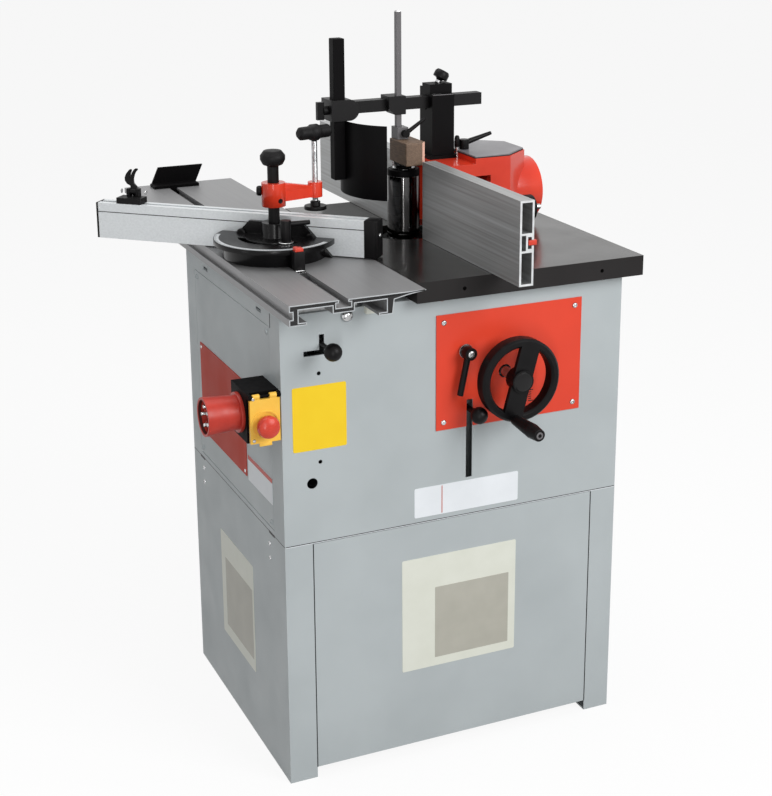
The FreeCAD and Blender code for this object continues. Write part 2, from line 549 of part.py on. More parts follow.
def rail_and_slide():
    """The rail on the cabinet, the sliding table on it and the lever that locks it."""
    low = d.cab_h + d.slide_clear
    left = d.slide_x
    right = d.slide_x + d.slide_w
    hook_z = low + d.hook_t
    under = table_top - d.skin_t
    web_low = table_top - d.slot_deep - d.web_t
    inner_l = left + d.slide_leg
    inner_r = right - d.leg_right - d.leg_root
    neck = d.slot_w / 2
    wide = d.slot_wide / 2
    profile = [(left, table_top), (slot_x - neck, table_top), (slot_x - neck, table_top - d.slot_neck),
               (slot_x - wide, table_top - d.slot_neck), (slot_x - wide, table_top - d.slot_deep),
               (slot_x + wide, table_top - d.slot_deep), (slot_x + wide, table_top - d.slot_neck),
               (slot_x + neck, table_top - d.slot_neck), (slot_x + neck, table_top), (right, table_top),
               (right, table_top - d.edge_t), (right - d.lip_in, table_top - d.lip_t),
               (right - d.leg_top, table_top - d.leg_root), (right - d.leg_right, low),
               (inner_r - d.hook_w, low), (inner_r - d.hook_w, hook_z), (inner_r, hook_z), (inner_r, under),
               (slot_x + d.web_w / 2, under), (slot_x + d.web_w / 2, web_low),
               (slot_x - d.web_w / 2, web_low),
               (slot_x - d.web_w / 2, under), (inner_l, under), (inner_l, hook_z),
               (inner_l + d.hook_w, hook_z),
               (inner_l + d.hook_w, low), (left, low), (left, table_top - d.groove_z2),
               (left + d.groove_d, table_top - d.groove_z2), (left + d.groove_d, table_top - d.groove_z1),
               (left, table_top - d.groove_z1)]
    piece("sliding_table", prism("xz", profile, d.slide_y, d.slide_y + d.slide_l))

    head_l = inner_l + d.rail_fit
    head_r = inner_r - d.rail_fit
    head_z = hook_z + d.rail_fit
    base_l = inner_l + d.rail_base_in
    base_r = inner_r - d.rail_base_in
    rail = prism("xz", [(base_l, d.cab_h), (base_r, d.cab_h), (base_r, head_z), (head_r, head_z),
                        (head_r, web_low - d.rail_fit), (head_l, web_low - d.rail_fit), (head_l, head_z),
                        (base_l, head_z)], -d.rail_l / 2, d.rail_l / 2)
    piece("slide_rail", cut(rail, rod("z", d.lock_x, d.lock_y, d.cab_h - MARGIN, table_top, d.lock_hole)))

    ball_y = front - d.lock_out
    pin_z = (d.lock_z - d.lock_pin_low, d.cab_h + d.lock_pin_top)
    piece("table_lock_lever", fuse(rod("z", d.lock_x, d.lock_y, *pin_z, d.lock_pin_r),
                                   rod("y", d.lock_x, d.lock_z, ball_y, d.lock_y, d.lock_r),
                                   ball(d.lock_x, ball_y, d.lock_z, d.lock_ball_r)))


def height_gear():
    """The quill's bracket under the table, the leadscrew, the handwheel and its crank, and the lock lever."""
    arm_z = (d.lead_arm_z, d.lead_arm_z + d.lead_arm_t)
    arm_half = d.lead_arm_w / 2
    lug_half = d.shaft_lug / 2
    lock_half = d.hlock_lug / 2
    sleeve = turned([(0, d.bracket_z), (d.bracket_r, d.bracket_z),
                     (d.bracket_r, d.cab_h - d.bracket_flange_t),
                     (d.bracket_flange_r, d.cab_h - d.bracket_flange_t), (d.bracket_flange_r, d.cab_h),
                     (0, d.cab_h)],
                    d.spin_x, d.spin_y)
    arm = box((d.lead_x - arm_half, d.lead_x + arm_half), (d.shaft_lug_y1, d.spin_y), arm_z)
    lug = box((d.wheel_x - lug_half, d.wheel_x + lug_half), (d.shaft_lug_y1, d.shaft_lug_y2),
              (d.wheel_z - lug_half, arm_z[0] + MARGIN))
    lock_lug = box((d.hlock_x - lock_half, d.hlock_x + lock_half), (d.hlock_lug_y, d.spin_y),
                   (d.hlock_z - lock_half, d.hlock_z + lock_half))
    piece("quill_bracket", cut(fuse(sleeve, arm, lug, lock_lug),
                               rod("z", d.spin_x, d.spin_y, d.bracket_z - MARGIN, d.cab_h + MARGIN,
                                   d.quill_r + d.fit),
                               rod("z", d.lead_x, d.lead_y, arm_z[0] - MARGIN, arm_z[1] + MARGIN,
                                   d.lead_r + d.run),
                               rod("y", d.wheel_x, d.wheel_z, d.shaft_lug_y1 - MARGIN,
                                   d.shaft_lug_y2 + MARGIN,
                                   d.wheel_shaft_r + d.run),
                               rod("y", d.hlock_x, d.hlock_z, d.hlock_lug_y - MARGIN,
                                   d.hlock_lug_y + d.hlock_in,
                                   d.hlock_r + d.run)))

    gear_z = d.wheel_z - d.bevel_r
    face_w = d.bevel_r - d.bevel_small
    piece("leadscrew", fuse(rod("z", d.lead_x, d.lead_y, d.lead_low, d.lead_top, d.lead_r),
                            cone("z", d.lead_x, d.lead_y, gear_z, gear_z + face_w, d.bevel_r - d.bevel_gap,
                                 d.bevel_small - d.bevel_gap),
                            rod("z", d.lead_x, d.lead_y, arm_z[1] + d.gap, arm_z[1] + d.collar_t,
                                d.collar_r)))
    pinion_y = d.lead_y - d.bevel_r
    hub_y = (d.wheel_y - d.hub_front, d.wheel_y + d.hub_l - d.hub_front)
    piece("handwheel_shaft", fuse(rod("y", d.wheel_x, d.wheel_z, hub_y[0] + d.hub_front, pinion_y,
                                      d.wheel_shaft_r),
                                  cone("y", d.wheel_x, d.wheel_z, pinion_y, pinion_y + face_w,
                                       d.bevel_r - d.bevel_gap, d.bevel_small - d.bevel_gap)))

    lip = d.rim_edge
    rim = turned([(d.rim_in + lip, -lip), (d.rim_out - lip, -lip), (d.rim_out, 0),
                  (d.rim_out, d.rim_l - 2 * lip),
                  (d.rim_out - lip, d.rim_l - lip), (d.rim_in + lip, d.rim_l - lip),
                  (d.rim_in, d.rim_l - 2 * lip),
                  (d.rim_in, 0)], d.wheel_x, d.wheel_y, d.wheel_z, "y")
    spoke = doc.addObject("Part::Box", "spoke")
    bind(spoke, "Length", d.spoke_w)
    bind(spoke, "Width", d.spoke_t)
    bind(spoke, "Height", 2 * d.crank_at)
    bar = fuse(place(spoke, -d.spoke_w / 2, -d.spoke_t / 2, -d.crank_at),
               rod("y", 0, -d.crank_at, -d.crank_stand - d.crank_l + d.crank_wall, d.spoke_t / 2,
                   d.crank_pin_r))
    turn(bar, d.crank_angle, d.wheel_x, d.wheel_y, d.wheel_z, (0, 1, 0))
    piece("handwheel", cut(fuse(rim, rod("y", d.wheel_x, d.wheel_z, *hub_y, d.hub_r), bar),
                           rod("y", d.wheel_x, d.wheel_z, hub_y[0] + d.hub_front, hub_y[1] + MARGIN,
                               d.wheel_shaft_r)))
    grip = turned([(d.crank_pin_r + d.run, -d.crank_stand), (d.crank_r1, -d.crank_stand),
                   (d.crank_r2, -d.crank_stand - d.crank_l * 0.7),
                   (d.crank_r2 * 0.8, -d.crank_stand - d.crank_l),
                   (0, -d.crank_stand - d.crank_l), (0, d.crank_wall / 2 - d.crank_stand - d.crank_l),
                   (d.crank_pin_r + d.run, d.crank_wall / 2 - d.crank_stand - d.crank_l)], 0, 0,
                  -d.crank_at, "y")
    handle = fuse(grip, turned([(d.crank_pin_r + d.run, -d.crank_stand), (d.crank_r1, -d.crank_stand),
                                (d.crank_r1, -d.crank_stand - d.crank_wall),
                                (d.crank_pin_r + d.run, -d.crank_stand - d.crank_wall)], 0, 0,
                               -d.crank_at, "y"))
    piece("crank_handle", turn(handle, d.crank_angle, d.wheel_x, d.wheel_y, d.wheel_z, (0, 1, 0)))

    hub_back = front - d.panel_t - d.hlock_stand
    hub_mid = hub_back - d.hlock_hub_l / 2
    piece("height_lock_lever", fuse(rod("y", d.hlock_x, d.hlock_z, hub_back,
                                        d.hlock_lug_y + d.hlock_in - MARGIN,
                                        d.hlock_r),
                                    rod("y", d.hlock_x, d.hlock_z, hub_back - d.hlock_hub_l, hub_back,
                                        d.hlock_hub_r),
                                    spar(d.hlock_x, hub_mid, d.hlock_z, 180 + d.hlock_lean, (0, 1, 0),
                                         d.hlock_lever_l, d.hlock_hub_r / 2, d.hlock_tip_r)))


def carriage():
    """The quill with the plate that carries the motor, and the bearings in it."""
    plate_z = (d.quill_z, d.quill_z + d.plate_t)
    quill = rod("z", d.spin_x, d.spin_y, d.quill_z, d.quill_top, d.quill_r)
    plate = box((d.plate_x1, d.plate_x2), (d.plate_y1, d.plate_y2), plate_z)
    pin_low = d.motor_plate_z - d.gap - d.pivot_head_t
    pin = rod("z", d.pivot_x, d.pivot_y, pin_low, d.quill_z, d.pivot_r)
    pin_head = rod("z", d.pivot_x, d.pivot_y, pin_low, pin_low + d.pivot_head_t, d.pivot_head_r)
    guide = box((d.blever_x - d.guide_w / 2, d.blever_x + d.guide_w / 2), (d.guide_y1, d.guide_y2),
                (d.blever_z - d.guide_low, d.quill_z))
    piece("quill", cut(fuse(quill, plate, pin, pin_head, guide),
                       rod("z", d.spin_x, d.spin_y, d.quill_z - MARGIN, d.quill_top + MARGIN, d.quill_bore),
                       rod("z", d.lead_x, d.lead_y, plate_z[0] - MARGIN, plate_z[1] + MARGIN,
                           d.lead_r + d.gap),
                       rod("y", d.blever_x, d.blever_z, d.guide_y1 - MARGIN, d.guide_y2 + MARGIN,
                           d.blever_r + d.run)))
    low_z = d.quill_z + d.bearing_in
    high_z = d.quill_top - d.bearing_in - d.bearing_t
    rings = [cut(rod("z", d.spin_x, d.spin_y, z, z + d.bearing_t, d.quill_bore),
                 rod("z", d.spin_x, d.spin_y, z - MARGIN, z + d.bearing_t + MARGIN, d.shaft_r + d.fit))
             for z in (low_z, high_z)]
    piece("spindle_bearings", group(*rings))
    ball_y = front - d.blever_out
    piece("belt_lever", fuse(rod("y", d.blever_x, d.blever_z, ball_y, d.blever_in, d.blever_r),
                             ball(d.blever_x, ball_y, d.blever_z, d.blever_ball_r)))


def pulley(radius, bore, x, y):
    """A V-belt pulley with one groove."""
    low = d.pulley_z
    mid = d.pulley_z + d.pulley_h / 2
    high = d.pulley_z + d.pulley_h
    return turned([(bore, low), (radius, low), (radius, mid - d.vee_w1 / 2),
                   (radius - d.vee_d, mid - d.vee_w2 / 2),
                   (radius - d.vee_d, mid + d.vee_w2 / 2), (radius, mid + d.vee_w1 / 2), (radius, high),
                   (bore, high)],
                  x, y)


def spindle():
    """The spindle shaft, its pulley, the spacer rings and the nut."""
    seat = d.shoulder_z + d.shoulder_t
    nut_z = seat + d.spacer_h
    piece("spindle_shaft", turned([(0, d.shaft_z), (d.shaft_r, d.shaft_z), (d.shaft_r, d.shoulder_z),
                                   (d.shoulder_r, d.shoulder_z), (d.shoulder_r, seat), (d.shaft_r, seat),
                                   (d.shaft_r, d.shaft_top), (0, d.shaft_top)], d.spin_x, d.spin_y))
    piece("spindle_pulley", pulley(d.spindle_pulley_r, d.shaft_r + d.fit, d.spin_x, d.spin_y))
    pitch = d.spacer_h / d.spacer_count
    rings = [cut(rod("z", d.spin_x, d.spin_y, seat + pitch * number,
                     seat + pitch * (number + 1) - d.spacer_groove,
                     d.spacer_r),
                 rod("z", d.spin_x, d.spin_y, seat - MARGIN, nut_z + MARGIN, d.shaft_r + d.fit))
             for number in range(SIZES["spacer_count"])]
    piece("spacer_rings", group(*rings))
    piece("spindle_nut", cut(rod("z", d.spin_x, d.spin_y, nut_z, nut_z + d.nut_t, d.nut_r),
                             rod("z", d.spin_x, d.spin_y, nut_z - MARGIN, nut_z + d.nut_t + MARGIN,
                                 d.shaft_r + d.fit)))


def belt_loop(x1, radius1, x2, radius2, y, low, height):
    """The flat-sided loop that a belt makes round two pulleys on one line along X."""
    reach = x2 - x1
    lean = (radius1 - radius2) / reach
    rise = (1 - lean * lean) ** 0.5
    corners = [(x1 + radius1 * lean, radius1 * rise), (x2 + radius2 * lean, radius2 * rise),
               (x2 + radius2 * lean, -radius2 * rise), (x1 + radius1 * lean, -radius1 * rise)]
    points = [FreeCAD.Vector(px, y + py, low) for px, py in corners]
    middle = Part.Face(Part.makePolygon(points + points[:1])).extrude(FreeCAD.Vector(0, 0, height))
    ends = [Part.makeCylinder(radius, height, FreeCAD.Vector(x, y, low))
            for x, radius in ((x1, radius1), (x2, radius2))]
    return middle.multiFuse(ends).removeSplitter()


def drive():
    """The motor on its swing plate, its pulley and the belt."""
    top = d.motor_plate_z
    low = top - d.motor_h
    body = turned([(0, low), (d.motor_r * 0.8, low), (d.motor_r, low + d.cap_h), (d.motor_r, top),
                   (0, top)],
                  d.motor_x, d.spin_y)
    fins = [cut(rod("z", d.motor_x, d.spin_y, z, z + d.fin_w, d.motor_r + MARGIN),
                rod("z", d.motor_x, d.spin_y, z - MARGIN, z + d.fin_w + MARGIN, d.motor_r - d.fin_d))
            for z in [low + d.cap_h + (d.motor_h - d.cap_h) / (d.fin_count + 1) * (number + 1)
                      for number in range(SIZES["fin_count"])]]
    plate_z = (top, top + d.motor_plate_t)
    rim = d.plate_rim
    boss = d.pivot_boss
    push_y = d.blever_in + d.push_gap
    plate = prism("xy", [(d.motor_x - rim, d.spin_y - rim), (d.pivot_x - boss, d.pivot_y - boss),
                         (d.pivot_x + boss, d.pivot_y - boss),
                         (d.blever_x + d.push_w / 2, push_y - d.push_t),
                         (d.blever_x + d.push_w / 2, push_y + d.push_t),
                         (d.pivot_x + boss, push_y + d.push_t),
                         (d.motor_x + rim, d.spin_y), (d.motor_x + rim, d.spin_y + rim),
                         (d.motor_x - rim, d.spin_y + rim)], *plate_z)
    post = box((d.blever_x - d.push_w / 2, d.blever_x + d.push_w / 2), (push_y, push_y + d.push_t),
               (plate_z[0], d.quill_z - d.push_clear))
    piece("motor", cut(fuse(cut(body, *fins), plate, post),
                       rod("z", d.pivot_x, d.pivot_y, plate_z[0] - MARGIN, plate_z[1] + MARGIN,
                           d.pivot_r + d.run),
                       rod("z", d.motor_x, d.spin_y, plate_z[1] - d.motor_shaft_in, plate_z[1] + MARGIN,
                           d.motor_shaft_r + d.run)))
    piece("motor_pulley", fuse(pulley(d.motor_pulley_r, d.motor_shaft_r, d.motor_x, d.spin_y),
                               rod("z", d.motor_x, d.spin_y, plate_z[1] - d.motor_shaft_in + MARGIN,
                                   d.pulley_z + d.pulley_h, d.motor_shaft_r)))

    belt = doc.addObject("Part::Feature", "belt")
    inner1 = d.motor_pulley_r.value - d.vee_d.value + d.gap.value
    inner2 = d.spindle_pulley_r.value - d.vee_d.value + d.gap.value
    thick = d.belt_t.value
    height = d.belt_h.value - 2 * d.gap.value
    z = d.pulley_z.value + d.pulley_h.value / 2 - height / 2
    ends = (d.motor_x.value, d.spin_x.value, d.spin_y.value)
    outside = belt_loop(ends[0], inner1 + thick, ends[1], inner2 + thick, ends[2], z, height)
    inside = belt_loop(ends[0], inner1, ends[1], inner2, ends[2], z - MARGIN, height + 2 * MARGIN)
    belt.Shape = outside.cut(inside)
    belt.Placement = FreeCAD.Placement()
    piece("drive_belt", belt)


def mitre_place(thing):
    """Turn a piece of the mitre gauge from its own frame into the machine's, about the pivot."""
    return turn(thing, d.mitre_angle, d.pivot_mx, d.pivot_my, 0)


def mitre_gauge():
    """The mitre gauge: its block in the slot, protractor, fence, end caps and lock lever."""
    neck = d.slot_w / 2 - d.tnut_fit
    wide = d.slot_wide / 2 - d.tnut_fit
    disc_z = table_top + d.disc_lift
    scale_z = disc_z + d.disc_t
    top = scale_z + d.scale_t
    arc_y = d.pivot_my - d.arc_r
    index_y = d.pivot_my - d.scale_r - d.gap * 2
    piece("mitre_slide_block", fuse(
        box((slot_x - neck, slot_x + neck), (d.block_y1, d.block_y2),
            (table_top - d.slot_neck - d.tnut_fit * 2, table_top)),
        box((slot_x - wide, slot_x + wide), (d.block_y1, d.block_y2),
            (table_top - d.slot_deep + d.tnut_fit, table_top - d.slot_neck - d.tnut_fit)),
        rod("z", d.pivot_mx, d.pivot_my, table_top - MARGIN, table_top + d.stud_h, d.stud_r),
        rod("z", d.pivot_mx, arc_y, table_top - MARGIN, top + d.gap, d.mlock_r),
        box((d.pivot_mx - d.index_w / 2, d.pivot_mx + d.index_w / 2), (index_y - d.index_t, index_y),
            (table_top - MARGIN, table_top + d.index_h))))

    far = 2 * d.scale_r
    behind = box((-far, far), (d.fence_face, far), (disc_z - MARGIN, top + d.boss_h))
    disc = fuse(rod("z", 0, 0, disc_z, scale_z, d.disc_r), rod("z", 0, 0, scale_z, top, d.scale_r),
                rod("z", 0, 0, disc_z, disc_z + d.boss_h, d.boss_r))
    back = prism("xz", [(-d.back_half, disc_z), (d.back_half, disc_z), (d.back_top_half, disc_z + d.back_h),
                        (-d.back_top_half, disc_z + d.back_h)], d.fence_face - d.back_t, d.fence_face)
    ring_z = (disc_z - MARGIN, top + MARGIN)
    arc = cut(rod("z", 0, 0, *ring_z, d.arc_r + d.arc_w / 2),
              rod("z", 0, 0, ring_z[0] - MARGIN, ring_z[1] + MARGIN, d.arc_r - d.arc_w / 2),
              box((-far, far), (-d.arc_from, far), (ring_z[0] - MARGIN, ring_z[1] + MARGIN)))
    casting = cut(fuse(cut(disc, behind), back), arc,
                  rod("z", 0, 0, disc_z - MARGIN, table_top + d.stud_h + MARGIN, d.stud_r + d.run),
                  rod("z", 0, 0, disc_z + d.boss_h - d.col_in, disc_z + d.boss_h + MARGIN, d.col_r + d.run))
    piece("mitre_protractor", mitre_place(casting))

    wall = d.fence_wall
    y = (d.fence_face, d.fence_face + d.fence_t)
    mid_y = d.fence_face + d.fence_t / 2
    z = (table_top + d.fence_lift, table_top + d.fence_lift + d.fence_h)
    through = (-d.fence_left - MARGIN, d.fence_right + MARGIN)
    bar = cut(box((-d.fence_left, d.fence_right), y, z),
              box(through, (y[0] + wall, y[1] - wall), (z[0] + wall, z[0] + d.fence_mid)),
              box(through, (y[0] + wall, y[1] - wall),
                  (z[0] + d.fence_mid + wall, z[1] - d.top_slot_deep - wall)),
              box(through, (mid_y - d.top_slot_w / 2, mid_y + d.top_slot_w / 2),
                  (z[1] - d.top_slot_deep, z[1] + MARGIN)),
              box(through, (mid_y - d.top_slot_wide / 2, mid_y + d.top_slot_wide / 2),
                  (z[1] - d.top_slot_deep, z[1] - d.top_slot_neck)))
    piece("mitre_fence", mitre_place(bar))
    caps = [box((low, low + d.end_cap_t), y, z) for low in (d.fence_right, -d.fence_left - d.end_cap_t)]
    piece("fence_end_caps", mitre_place(group(*caps)))

    hub_z = (top + 2 * d.gap, top + 2 * d.gap + d.mlock_hub_h)
    arm_z = hub_z[1] - d.mlock_arm_r * 1.5
    piece("mitre_lock_lever", fuse(rod("z", d.pivot_mx, arc_y, *hub_z, d.mlock_hub_r),
                                   cone("x", arc_y, arm_z, d.pivot_mx, d.pivot_mx + d.mlock_arm_l,
                                        d.mlock_arm_r,
                                        d.mlock_arm_tip)))


def clamp_place(thing):
    """Turn a piece of the hold-down clamp from its own frame into the machine's, about the column."""
    return turn(thing, d.arm_angle, d.pivot_mx, d.pivot_my, 0)


def hold_down():
    """The hold-down clamp on the mitre gauge: column, arm, screw and foot."""
    socket = table_top + d.disc_lift + d.boss_h - d.col_in
    knob = d.col_knob_z
    piece("clamp_column", turned([(0, socket + d.gap), (d.col_r, socket + d.gap), (d.col_r, knob),
                                  (d.col_knob_r * 0.8, knob + d.col_knob_h * 0.1),
                                  (d.col_knob_r, knob + d.col_knob_h * 0.4),
                                  (d.col_knob_r, knob + d.col_knob_h * 0.65),
                                  (d.col_knob_r * 0.7, knob + d.col_knob_h * 0.95),
                                  (0, knob + d.col_knob_h)],
                                 d.pivot_mx, d.pivot_my))
    hub = (d.arm_hub_z, d.arm_hub_z + d.arm_hub_h)
    end = (d.arm_end_z, d.arm_end_z + d.arm_end_h)
    arm = cut(fuse(rod("z", 0, 0, *hub, d.arm_hub_r), rod("z", d.arm_l, 0, *end, d.arm_end_r),
                   box((0, d.arm_l), (-d.arm_w / 2, d.arm_w / 2),
                       (d.arm_web_z + MARGIN * 3, d.arm_web_z + d.arm_web_h))),
              rod("z", 0, 0, hub[0] - MARGIN, hub[1] + MARGIN, d.col_r + d.run),
              rod("z", d.arm_l, 0, hub[0] - MARGIN, end[1] + MARGIN, d.screw_bar_r + d.gap))
    piece("clamp_arm", clamp_place(arm))
    tee = d.tee_z + d.tee_h
    wing = [(d.tee_end_r * 0.6, d.tee_half), (d.tee_end_r, d.tee_half - d.tee_end_r * 0.4),
            (d.tee_end_r, d.tee_half - d.tee_end_r), (d.tee_bar_r, d.tee_dome_r),
            (d.tee_dome_r, d.tee_dome_r * 0.4)]
    screw = fuse(rod("z", d.arm_l, 0, d.screw_low, d.screw_top, d.screw_bar_r),
                 cone("z", d.arm_l, 0, d.tee_z, tee, d.tee_r * 0.8, d.tee_r),
                 turned([(0, -d.tee_half)] + [(radius, -reach) for radius, reach in wing] + wing[::-1]
                        + [(0, d.tee_half)], d.arm_l, 0, tee, "x"))
    piece("clamp_screw", clamp_place(screw))
    foot_top = d.foot_disc_z + d.foot_disc_t
    foot = cut(fuse(rod("z", d.arm_l, 0, d.foot_disc_z, foot_top, d.foot_disc_r),
                    rod("z", d.arm_l, 0, foot_top, foot_top + d.foot_boss_h, d.foot_boss_r)),
               rod("z", d.arm_l, 0, d.screw_low - d.gap, foot_top + d.foot_boss_h + MARGIN,
                   d.screw_bar_r + d.run))
    piece("clamp_foot", clamp_place(foot))


def flip_stop():
    """The stop that slides in the top groove of the mitre fence, and its folding arm."""
    fence_top = table_top + d.fence_lift + d.fence_h
    mid_y = d.fence_face + d.fence_t / 2
    x = (d.stop_x - d.stop_w / 2, d.stop_x + d.stop_w / 2)
    seat = fence_top + d.gap
    hinge_z = fence_top + d.stop_hinge_up
    neck = d.top_slot_w / 2 - d.gap
    wide = d.top_slot_wide / 2 - d.gap
    arm_x = (d.stop_x - d.stop_arm_w / 2, d.stop_x + d.stop_arm_w / 2)
    ears = [box((low, low + d.stop_ear_t), (d.stop_hinge_y - d.stop_hub_r,
                                            d.stop_hinge_y + d.stop_hub_r - MARGIN),
                (seat, hinge_z + d.stop_hub_r))
            for low in (arm_x[0] - d.gap - d.stop_ear_t, arm_x[1] + d.gap)]
    body = fuse(box(x, (d.fence_face + MARGIN, d.fence_face + d.fence_t - MARGIN),
                    (seat, fence_top + d.stop_h)),
                box(x, (mid_y - neck, mid_y + neck), (fence_top - d.top_slot_neck - MARGIN, seat)),
                box(x, (mid_y - wide, mid_y + wide),
                    (fence_top - d.top_slot_deep + d.gap, fence_top - d.top_slot_neck - d.gap)), *ears,
                rod("x", d.stop_hinge_y, hinge_z, arm_x[0] - d.stop_ear_t, arm_x[1] + d.stop_ear_t,
                    d.stop_pin_r))
    piece("flip_stop_body", mitre_place(body))
    blade_y = d.fence_face + d.fence_t + d.gap * 3
    lever = doc.addObject("Part::Box", "lever")
    bind(lever, "Length", d.stop_arm_w)
    bind(lever, "Width", d.stop_lever_t)
    bind(lever, "Height", d.stop_lever_h)
    turn(lever, d.stop_lean, arm_x[0], d.stop_hinge_y - d.stop_lever_t / 2, hinge_z, (1, 0, 0))
    arm = cut(fuse(rod("x", d.stop_hinge_y, hinge_z, *arm_x, d.stop_hub_r),
                   box(arm_x, (d.stop_hinge_y, blade_y + d.stop_blade_t),
                       (hinge_z - d.stop_pin_r, hinge_z + d.stop_hub_r)),
                   box(arm_x, (blade_y, blade_y + d.stop_blade_t),
                       (fence_top - d.stop_blade_low, hinge_z + d.stop_hub_r)),
                   lever),
              rod("x", d.stop_hinge_y, hinge_z, arm_x[0] - MARGIN, arm_x[1] + MARGIN, d.stop_pin_r + d.run))
    piece("flip_stop_arm", mitre_place(arm))


def edging_shoe():
    """The edging shoe that holds a board's end at the far end of the sliding table."""
    neck = d.slot_w / 2 - d.tnut_fit
    wide = d.slot_wide / 2 - d.tnut_fit
    y = (d.shoe_y, d.shoe_y + d.shoe_d)
    z = table_top + d.gap
    right = d.shoe_x + d.shoe_w
    leaf = prism("xz", [(d.shoe_x, z), (right, z), (right + d.shoe_lean, z + d.shoe_h),
                        (d.shoe_x + d.shoe_lean, z + d.shoe_h)],
                 y[1] - d.shoe_wall, y[1])
    piece("edging_shoe", fuse(
        box((d.shoe_x, right), y, (z, z + d.shoe_base_t)), leaf,
        box((slot_x - neck, slot_x + neck), y, (table_top - d.slot_neck - d.tnut_fit * 2, z + MARGIN)),
        box((slot_x - wide, slot_x + wide), y, (table_top - d.slot_deep + d.tnut_fit,
                                                table_top - d.slot_neck - d.tnut_fit))))


def hood_plan(inset, x_front):
    """The hood's outline seen from above, drawn in by an inset, from a front edge."""
    low = hood_y - d.hood_half + inset
    high = hood_y + d.hood_half - inset
    back = d.hood_x2 - inset
    return [(x_front, low), (back - d.hood_cut_x, low), (back, low + d.hood_cut_y),
            (back, high - d.hood_cut_y),
            (back - d.hood_cut_x, high), (x_front, high)]


def tee_nut(y1, y2):
    """A nut for the slot in a fence's back, with its neck."""
    mid_z = (d.web_z1 + d.web_z2) / 2
    back = d.face_x + d.rail_fence_t
    neck = d.tee_neck / 2 - d.tee_fit
    wide = d.tee_wide / 2 - d.tee_fit
    return [box((back - d.tee_lip - MARGIN, back + 2 * MARGIN), (y1, y2), (mid_z - neck, mid_z + neck)),
            box((back - d.tee_deep + d.tee_fit, back - d.tee_lip - d.tee_fit), (y1, y2),
                (mid_z - wide, mid_z + wide))]


def hood():
    """The extraction hood with its dust port and cover, the infeed carrier, its knob and the clamp lever."""
    top = hood_low + d.hood_h
    step = top + d.hood_step_h
    wall = d.hood_wall
    wing_x = (d.face_x + d.rail_fence_t + d.gap, d.face_x + d.rail_fence_t + d.gap + d.wing_t)
    wing_y = (hood_y + d.hood_half - wall, hood_y + d.hood_half + d.wing_l)
    port_y = hood_y
    lug_z = (d.adjust_z - d.lug_half, d.adjust_z + d.lug_half)
    side = hood_y - d.hood_half
    whole = fuse(cut(prism("xy", hood_plan(0, d.hood_x1), hood_low, top),
                     prism("xy", hood_plan(wall, d.hood_x1 - 3 * MARGIN), hood_low - MARGIN, top - wall)),
                 prism("xy", hood_plan(0, d.hood_step_x), top, step),
                 box(wing_x, wing_y, (hood_low, hood_low + d.wing_h)),
                 rod("x", port_y, d.duct_z, d.hood_x2, d.duct_x2, d.duct_r),
                 cut(rod("x", port_y, d.duct_z, d.hood_x2 - d.duct_in, d.hood_x2 + d.duct_root,
                         d.duct_r + d.duct_bead),
                     box((d.hood_x1, d.hood_x2 + d.duct_in), (side, hood_y + d.hood_half),
                         (table_top - d.duct_r, hood_low))),
                 box((d.lug_x1, d.lug_x2), (d.adjust_y - d.lug_half, side + wall), lug_z),
                 *tee_nut(wing_y[0] + d.tee_off, wing_y[0] + d.tee_off + d.tee_len))
    piece("hood", cut(whole,
                      rod("x", port_y, d.duct_z, d.hood_x2 - d.duct_in - MARGIN, d.duct_x2 + MARGIN,
                          d.duct_r - d.duct_wall),
                      box((d.window_x, d.window_x + d.window_w), (side - MARGIN, side + wall + MARGIN),
                          (d.window_z, d.window_z + d.window_h)),
                      rod("x", d.adjust_y, d.adjust_z, d.lug_x1 - MARGIN, d.lug_x2 + MARGIN,
                          d.adjust_r + d.run)))
    piece("hood_cover", prism("xy", hood_plan(d.cover_in, d.hood_step_x), step, step + d.cover_t))

    arm_half = d.adjust_arm / 2
    piece("infeed_carrier", cut(fuse(box(wing_x, (d.carrier_y1, d.carrier_y2),
                                         (hood_low, hood_low + d.wing_h)),
                                     box((wing_x[0], d.arm_x2),
                                         (d.adjust_y - arm_half, d.adjust_y + arm_half),
                                         (d.adjust_z - arm_half, d.adjust_z + arm_half)),
                                     *tee_nut(d.carrier_y1 + d.tee_off,
                                              d.carrier_y1 + d.tee_off + d.tee_len)),
                                rod("x", d.adjust_y, d.adjust_z, wing_x[0] + d.wing_t, d.arm_x2 + MARGIN,
                                    d.adjust_r + d.gap)))
    knob_end = d.knob_x + d.knob_t
    piece("adjust_knob", fuse(rod("x", d.adjust_y, d.adjust_z, d.screw_start, d.screw_end, d.adjust_r),
                              rod("x", d.adjust_y, d.adjust_z, d.lug_x2 + d.gap, d.knob_x, d.adjust_r * 2),
                              rod("x", d.adjust_y, d.adjust_z, d.knob_x, knob_end, d.knob_r),
                              cone("x", d.adjust_y, d.adjust_z, knob_end, knob_end + d.cone_l, d.cone_r,
                                   d.adjust_r)))
    base = step + d.cover_t + d.gap
    piece("hood_clamp_lever", fuse(rod("z", d.hood_lever_x, d.hood_lever_y, base, base + d.hood_hub_h,
                                       d.hood_hub_r),
                                   spar(d.hood_lever_x, d.hood_lever_y, base + d.hood_hub_h * 0.6,
                                        d.hood_lever_rise,
                                        (0, 1, 0), d.hood_lever_l, d.hood_lever_r1, d.hood_lever_r2)))


